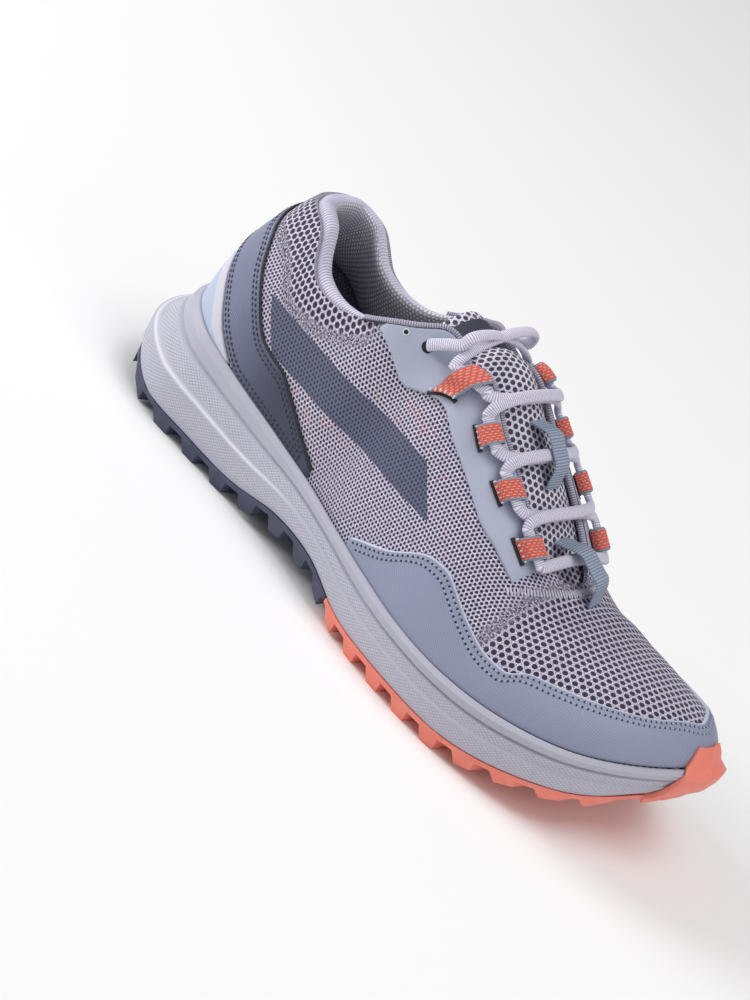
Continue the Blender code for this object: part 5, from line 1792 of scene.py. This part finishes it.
@dataclass
class Sole(Assembly):
    """Midsole, outsole and insole."""

    columns: int = 14
    profile: Rows = (
        (0.00, 0.95, -0.6, 1.0), (0.12, 1.00, 0.1, 0.75), (0.40, 1.00, 0.4, 0.35), (0.46, 0.80, -0.3, 0.28),
        (0.69, 0.36, 0.0, 0.05), (0.73, 0.28, -0.9, 0.0), (0.78, 0.22, 0.3, 0.0), (0.92, 0.10, 0.5, 0.0),
        (1.00, 0.00, -0.8, 0.0),
    )  # share of the height, share of the flare, step out and tuck under the toe
    corner: float = 0.012  # share of the height in which a corner of the profile turns
    toe_tuck: float = 7.0
    toe_span: float = 1.8
    knurled: Rows = ((0.03, 0.05, 0.38, 0.40), (0.47, 0.49, 0.67, 0.69))  # bands: start, full, full and end
    # where the painted highlight runs along the ridge, and the sections over which it fades out towards the front
    ridge_height: float = 0.43
    ridge_half: float = 0.014
    ridge_highlight_fade: Pair = (5.6, 3.6)
    insole: float = 4.0
    insole_dish: float = 0.6
    lug_bevel: float = 0.5

    def rim_reach(self, station: Array) -> Array:
        """How far the midsole's rim stands out to clear the upper.

        Args:
            station: around the foot.
        Returns:
            Millimetres out of the foot's outline.
        """
        shares = LAST.edge_share(station)[:, None] * np.linspace(0.0, 1.0, 33)
        faces = LAST.skin(station[:, None], shares)
        out_x, out_y = LAST.outward(station)
        x, y = LAST.value("foot_x", station), LAST.value("foot_y", station)
        reach = (faces[..., 0] - x[:, None]) * out_x[:, None] + (faces[..., 1] - y[:, None]) * out_y[:, None]
        goal = LAST.value("rim_z", station)
        at_rim = [np.interp(g, z, r) for g, z, r in zip(goal, faces[..., 2], reach)]
        return np.maximum(at_rim, 0.0) + GAP

    def side_reach(self, station: Array, base: Array, height: float) -> Array:
        """How far the midsole's side stands out at a share of its height.

        Args:
            station: around the foot.
            base: how far its rim stands out there.
            height: share of its height.
        Returns:
            Millimetres out of the foot's outline.
        """
        heights, *columns = zip(*self.profile)
        flare, step, tuck = (np.interp(height, heights, column) for column in columns)
        under_toe = self.toe_tuck * smoothstep(HALF - self.toe_span, HALF, LAST.from_heel(station))
        return base + np.maximum(LAST.value("flare", station) - base, 0.0) * flare + step - under_toe * tuck

    @staticmethod
    def cap(ring: Array, columns: int, dish: float = 0.0) -> Array:
        """A grid that closes a ring, from its outer side across to its inner side.

        Args:
            ring: points round the foot.
            columns: points across.
            dish: how far the middle is let down.
        Returns:
            The grid.
        """
        half = len(ring) // 2
        lateral, medial = ring[:half + 1], np.concatenate([ring[:1], ring[:half - 1:-1]])
        t = np.linspace(0.0, 1.0, columns)[None, :, None]
        made = lateral[:, None] * (1 - t) + medial[:, None] * t
        made[..., 2] -= dish * np.sin(math.pi * t[..., 0])
        return made

    def midsole(self) -> None:
        """The foam with its bands, groove and rim."""
        count = RING * self.columns
        stations = np.arange(count + 1) / self.columns
        corners = [row[0] for row in self.profile]
        shares = sorted({*np.linspace(0.0, 1.0, 41), *corners, *(c + self.corner for c in corners[:-1]),
                         *(c - self.corner for c in corners[1:])})
        rim_reach = self.rim_reach(stations)
        base = rim_reach + RIM_WALL
        foot = LAST.ground(stations) + LUG_DEPTH + OUTSOLE + GAP
        rim = LAST.value("rim_z", stations)
        rows = [LAST.outline(stations, self.side_reach(stations, base, h), foot + (rim - foot) * h) for h in shares]
        rows.extend(LAST.outline(stations, out, height) for out, height in (
            (rim_reach + 0.8, rim + 0.1), (rim_reach, rim - 0.2), (GAP, rim - CUP_DEPTH - 2 * GAP)))
        side = np.stack(rows, axis=1)
        flat = flat_map(run_length(LAST.outline(stations, base, rim))[:, None], run_length(side, 1))
        height = np.array([*shares, 1.0, 1.0, 1.0])
        knurled = np.max([smoothstep(start, full, height) * smoothstep(end, last, height)
                          for start, full, last, end in self.knurled], axis=0)
        # painted highlight along the ridge, fading out towards the front
        ridge = np.exp(-(((height - self.ridge_height) / self.ridge_half) ** 2))
        fade = smoothstep(*self.ridge_highlight_fade, LAST.from_heel(stations[:-1]))
        weights = {"on_knurl": np.broadcast_to(knurled, side.shape[:2])[:-1], "on_ridge": fade[:, None] * ridge}
        work = Patchwork()
        work.grid(side[:-1], flat, closed=True, weights=weights)
        for row in (0, -1):
            cap = self.cap(side[:-1, row], 9)
            work.grid(cap, cap[..., :2], weights={name: np.zeros(cap.shape[:2]) for name in weights})
        piece = work.make("midsole_foam_body", Finishes.FOAM, sharp=40.0)
        self.settle(piece, Finishes.FOAM, "midsole")

    def insole_piece(self) -> None:
        """The footbed, drawn in at its top edge and a little dished."""
        stations = np.arange(RING * self.columns) / self.columns
        low = LAST.value("rim_z", stations) - CUP_DEPTH - GAP
        side = np.stack([LAST.outline(stations, -(WALL + inset), low + height) for inset, height in (
            (0.5, 0.0), (0.55, 1.5), (0.6, self.insole - 1.0), (1.0, self.insole - 0.35), (2.0, self.insole))], axis=1)
        work = Patchwork()
        work.grid(side, closed=True)
        for row, dish in ((0, 0.0), (-1, self.insole_dish)):
            cap = self.cap(side[:, row], 25, dish)
            work.grid(cap, cap[..., :2])
        piece = work.make("footbed", Finishes.INSOLE)
        self.settle(piece, Finishes.INSOLE, "insole")

    def treads(self) -> None:
        """The outsoles, from the frame's solids with their edges rounded."""
        for place, finish in (("heel", Finishes.DARK_RUBBER), ("forefoot", Finishes.CORAL_RUBBER)):
            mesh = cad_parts[f"outsole_{place}"].data.copy()
            work = bmesh.new()
            work.from_mesh(mesh)
            bmesh.ops.remove_doubles(work, verts=work.verts, dist=0.01 * MM)
            bmesh.ops.dissolve_limit(work, angle_limit=math.radians(1.0), verts=work.verts, edges=work.edges)
            work.to_mesh(mesh)
            work.free()
            mesh.materials.clear()
            mesh.materials.append(Finishes.material(finish))
            solid = placed(f"{place}_tread_sharp", mesh)
            bevel = solid.modifiers.new("rounding", "BEVEL")
            bevel.width = self.lug_bevel * MM
            bevel.segments = 2
            bevel.limit_method = "ANGLE"
            bevel.angle_limit = math.radians(35)
            piece = baked(solid, f"{place}_tread")
            piece.data.shade_smooth()
            piece.data.set_sharp_from_angle(angle=math.radians(45))
            self.settle(piece, finish, f"outsole_{place}")

    def build(self) -> None:
        """Build the sole."""
        self.midsole()
        self.insole_piece()
        self.treads()


@dataclass
class Studio:
    """Floor, light and camera."""

    floor_half: float = 6.0
    floor: Finish = Finish("pale_floor", "f9f9f9", 1.0)
    lights: Sequence[tuple[str, Triple, float, float]] = (  # name, place, size and power
        ("key_light", (-1.65, -0.55, 0.80), 0.9, 24.5), ("fill_light", (1.5, -0.5, 0.9), 1.4, 5.0),
        ("top_light", (0.45, -0.1, 1.8), 1.2, 14.0))
    light_goal: Triple = (0.0, 0.0, 0.05)
    world_strength: float = 0.34
    camera_place: Triple = (0.468607, -0.958551, 0.550729)
    camera_turn: Rows = ((0.6351925, 0.5763232, 0.5141809), (-0.6635507, 0.0665090, 0.7451691),
                         (0.3952606, -0.8145110, 0.4246657))  # its right, up and back
    lens: float = 117.12
    sensor: float = 36.0
    shift: Pair = (-0.0843, -0.0020)

    def lay_floor(self) -> None:
        """Lay a plain pale floor."""
        mesh = bpy.data.meshes.new("floor")
        corners = [(x * self.floor_half, y * self.floor_half, 0.0) for x, y in ((-1, -1), (1, -1), (1, 1), (-1, 1))]
        mesh.from_pydata(corners, [], [(0, 1, 2, 3)])
        matt = self.floor.make()
        matt.node_tree.nodes["Principled BSDF"].inputs["Specular IOR Level"].default_value = 0.0
        mesh.materials.append(matt)
        placed("floor", mesh)

    def hang_lights(self) -> None:
        """Hang soft square lamps aimed at the shoe, in an even white world."""
        for name, place, size, power in self.lights:
            lamp = bpy.data.lights.new(name, "AREA")
            lamp.shape = "SQUARE"
            lamp.size = size
            lamp.energy = power
            made = placed(name, lamp)
            made.location = place
            made.rotation_euler = (Vector(self.light_goal) - Vector(place)).to_track_quat("-Z", "Y").to_euler()
        world = bpy.data.worlds.new("studio")
        world.use_nodes = True
        sky = world.node_tree.nodes["Background"].inputs
        sky["Color"].default_value = linear("ffffff")
        sky["Strength"].default_value = self.world_strength
        bpy.context.scene.world = world
        bpy.context.scene.view_settings.view_transform = "Standard"

    def set_camera(self) -> None:
        """Set the camera at the photograph's angle."""
        camera = bpy.data.cameras.new("camera")
        camera.sensor_fit = "VERTICAL"
        camera.sensor_height = self.sensor
        camera.lens = self.lens
        camera.shift_x, camera.shift_y = self.shift
        camera.clip_start = 0.01
        holder = placed("camera", camera)
        turn = Matrix(self.camera_turn).transposed()
        holder.matrix_world = Matrix.Translation(self.camera_place) @ turn.to_4x4()
        bpy.context.scene.camera = holder

    def build(self) -> None:
        """Set the stage."""
        self.lay_floor()
        self.hang_lights()
        self.set_camera()


def main() -> None:
    """Build the shoe's pieces and its stage, and log each piece's size in faces."""
    logging.basicConfig(level=logging.INFO, format="%(name)s %(message)s")
    Studio().build()
    tongue = Tongue()
    for group in (Sole(), Upper(), Panels(), Collar(), tongue, Lacing(tongue)):
        LOG.info("building %s", type(group).__name__)
        group.build()


if __name__ == "__main__":
    main()
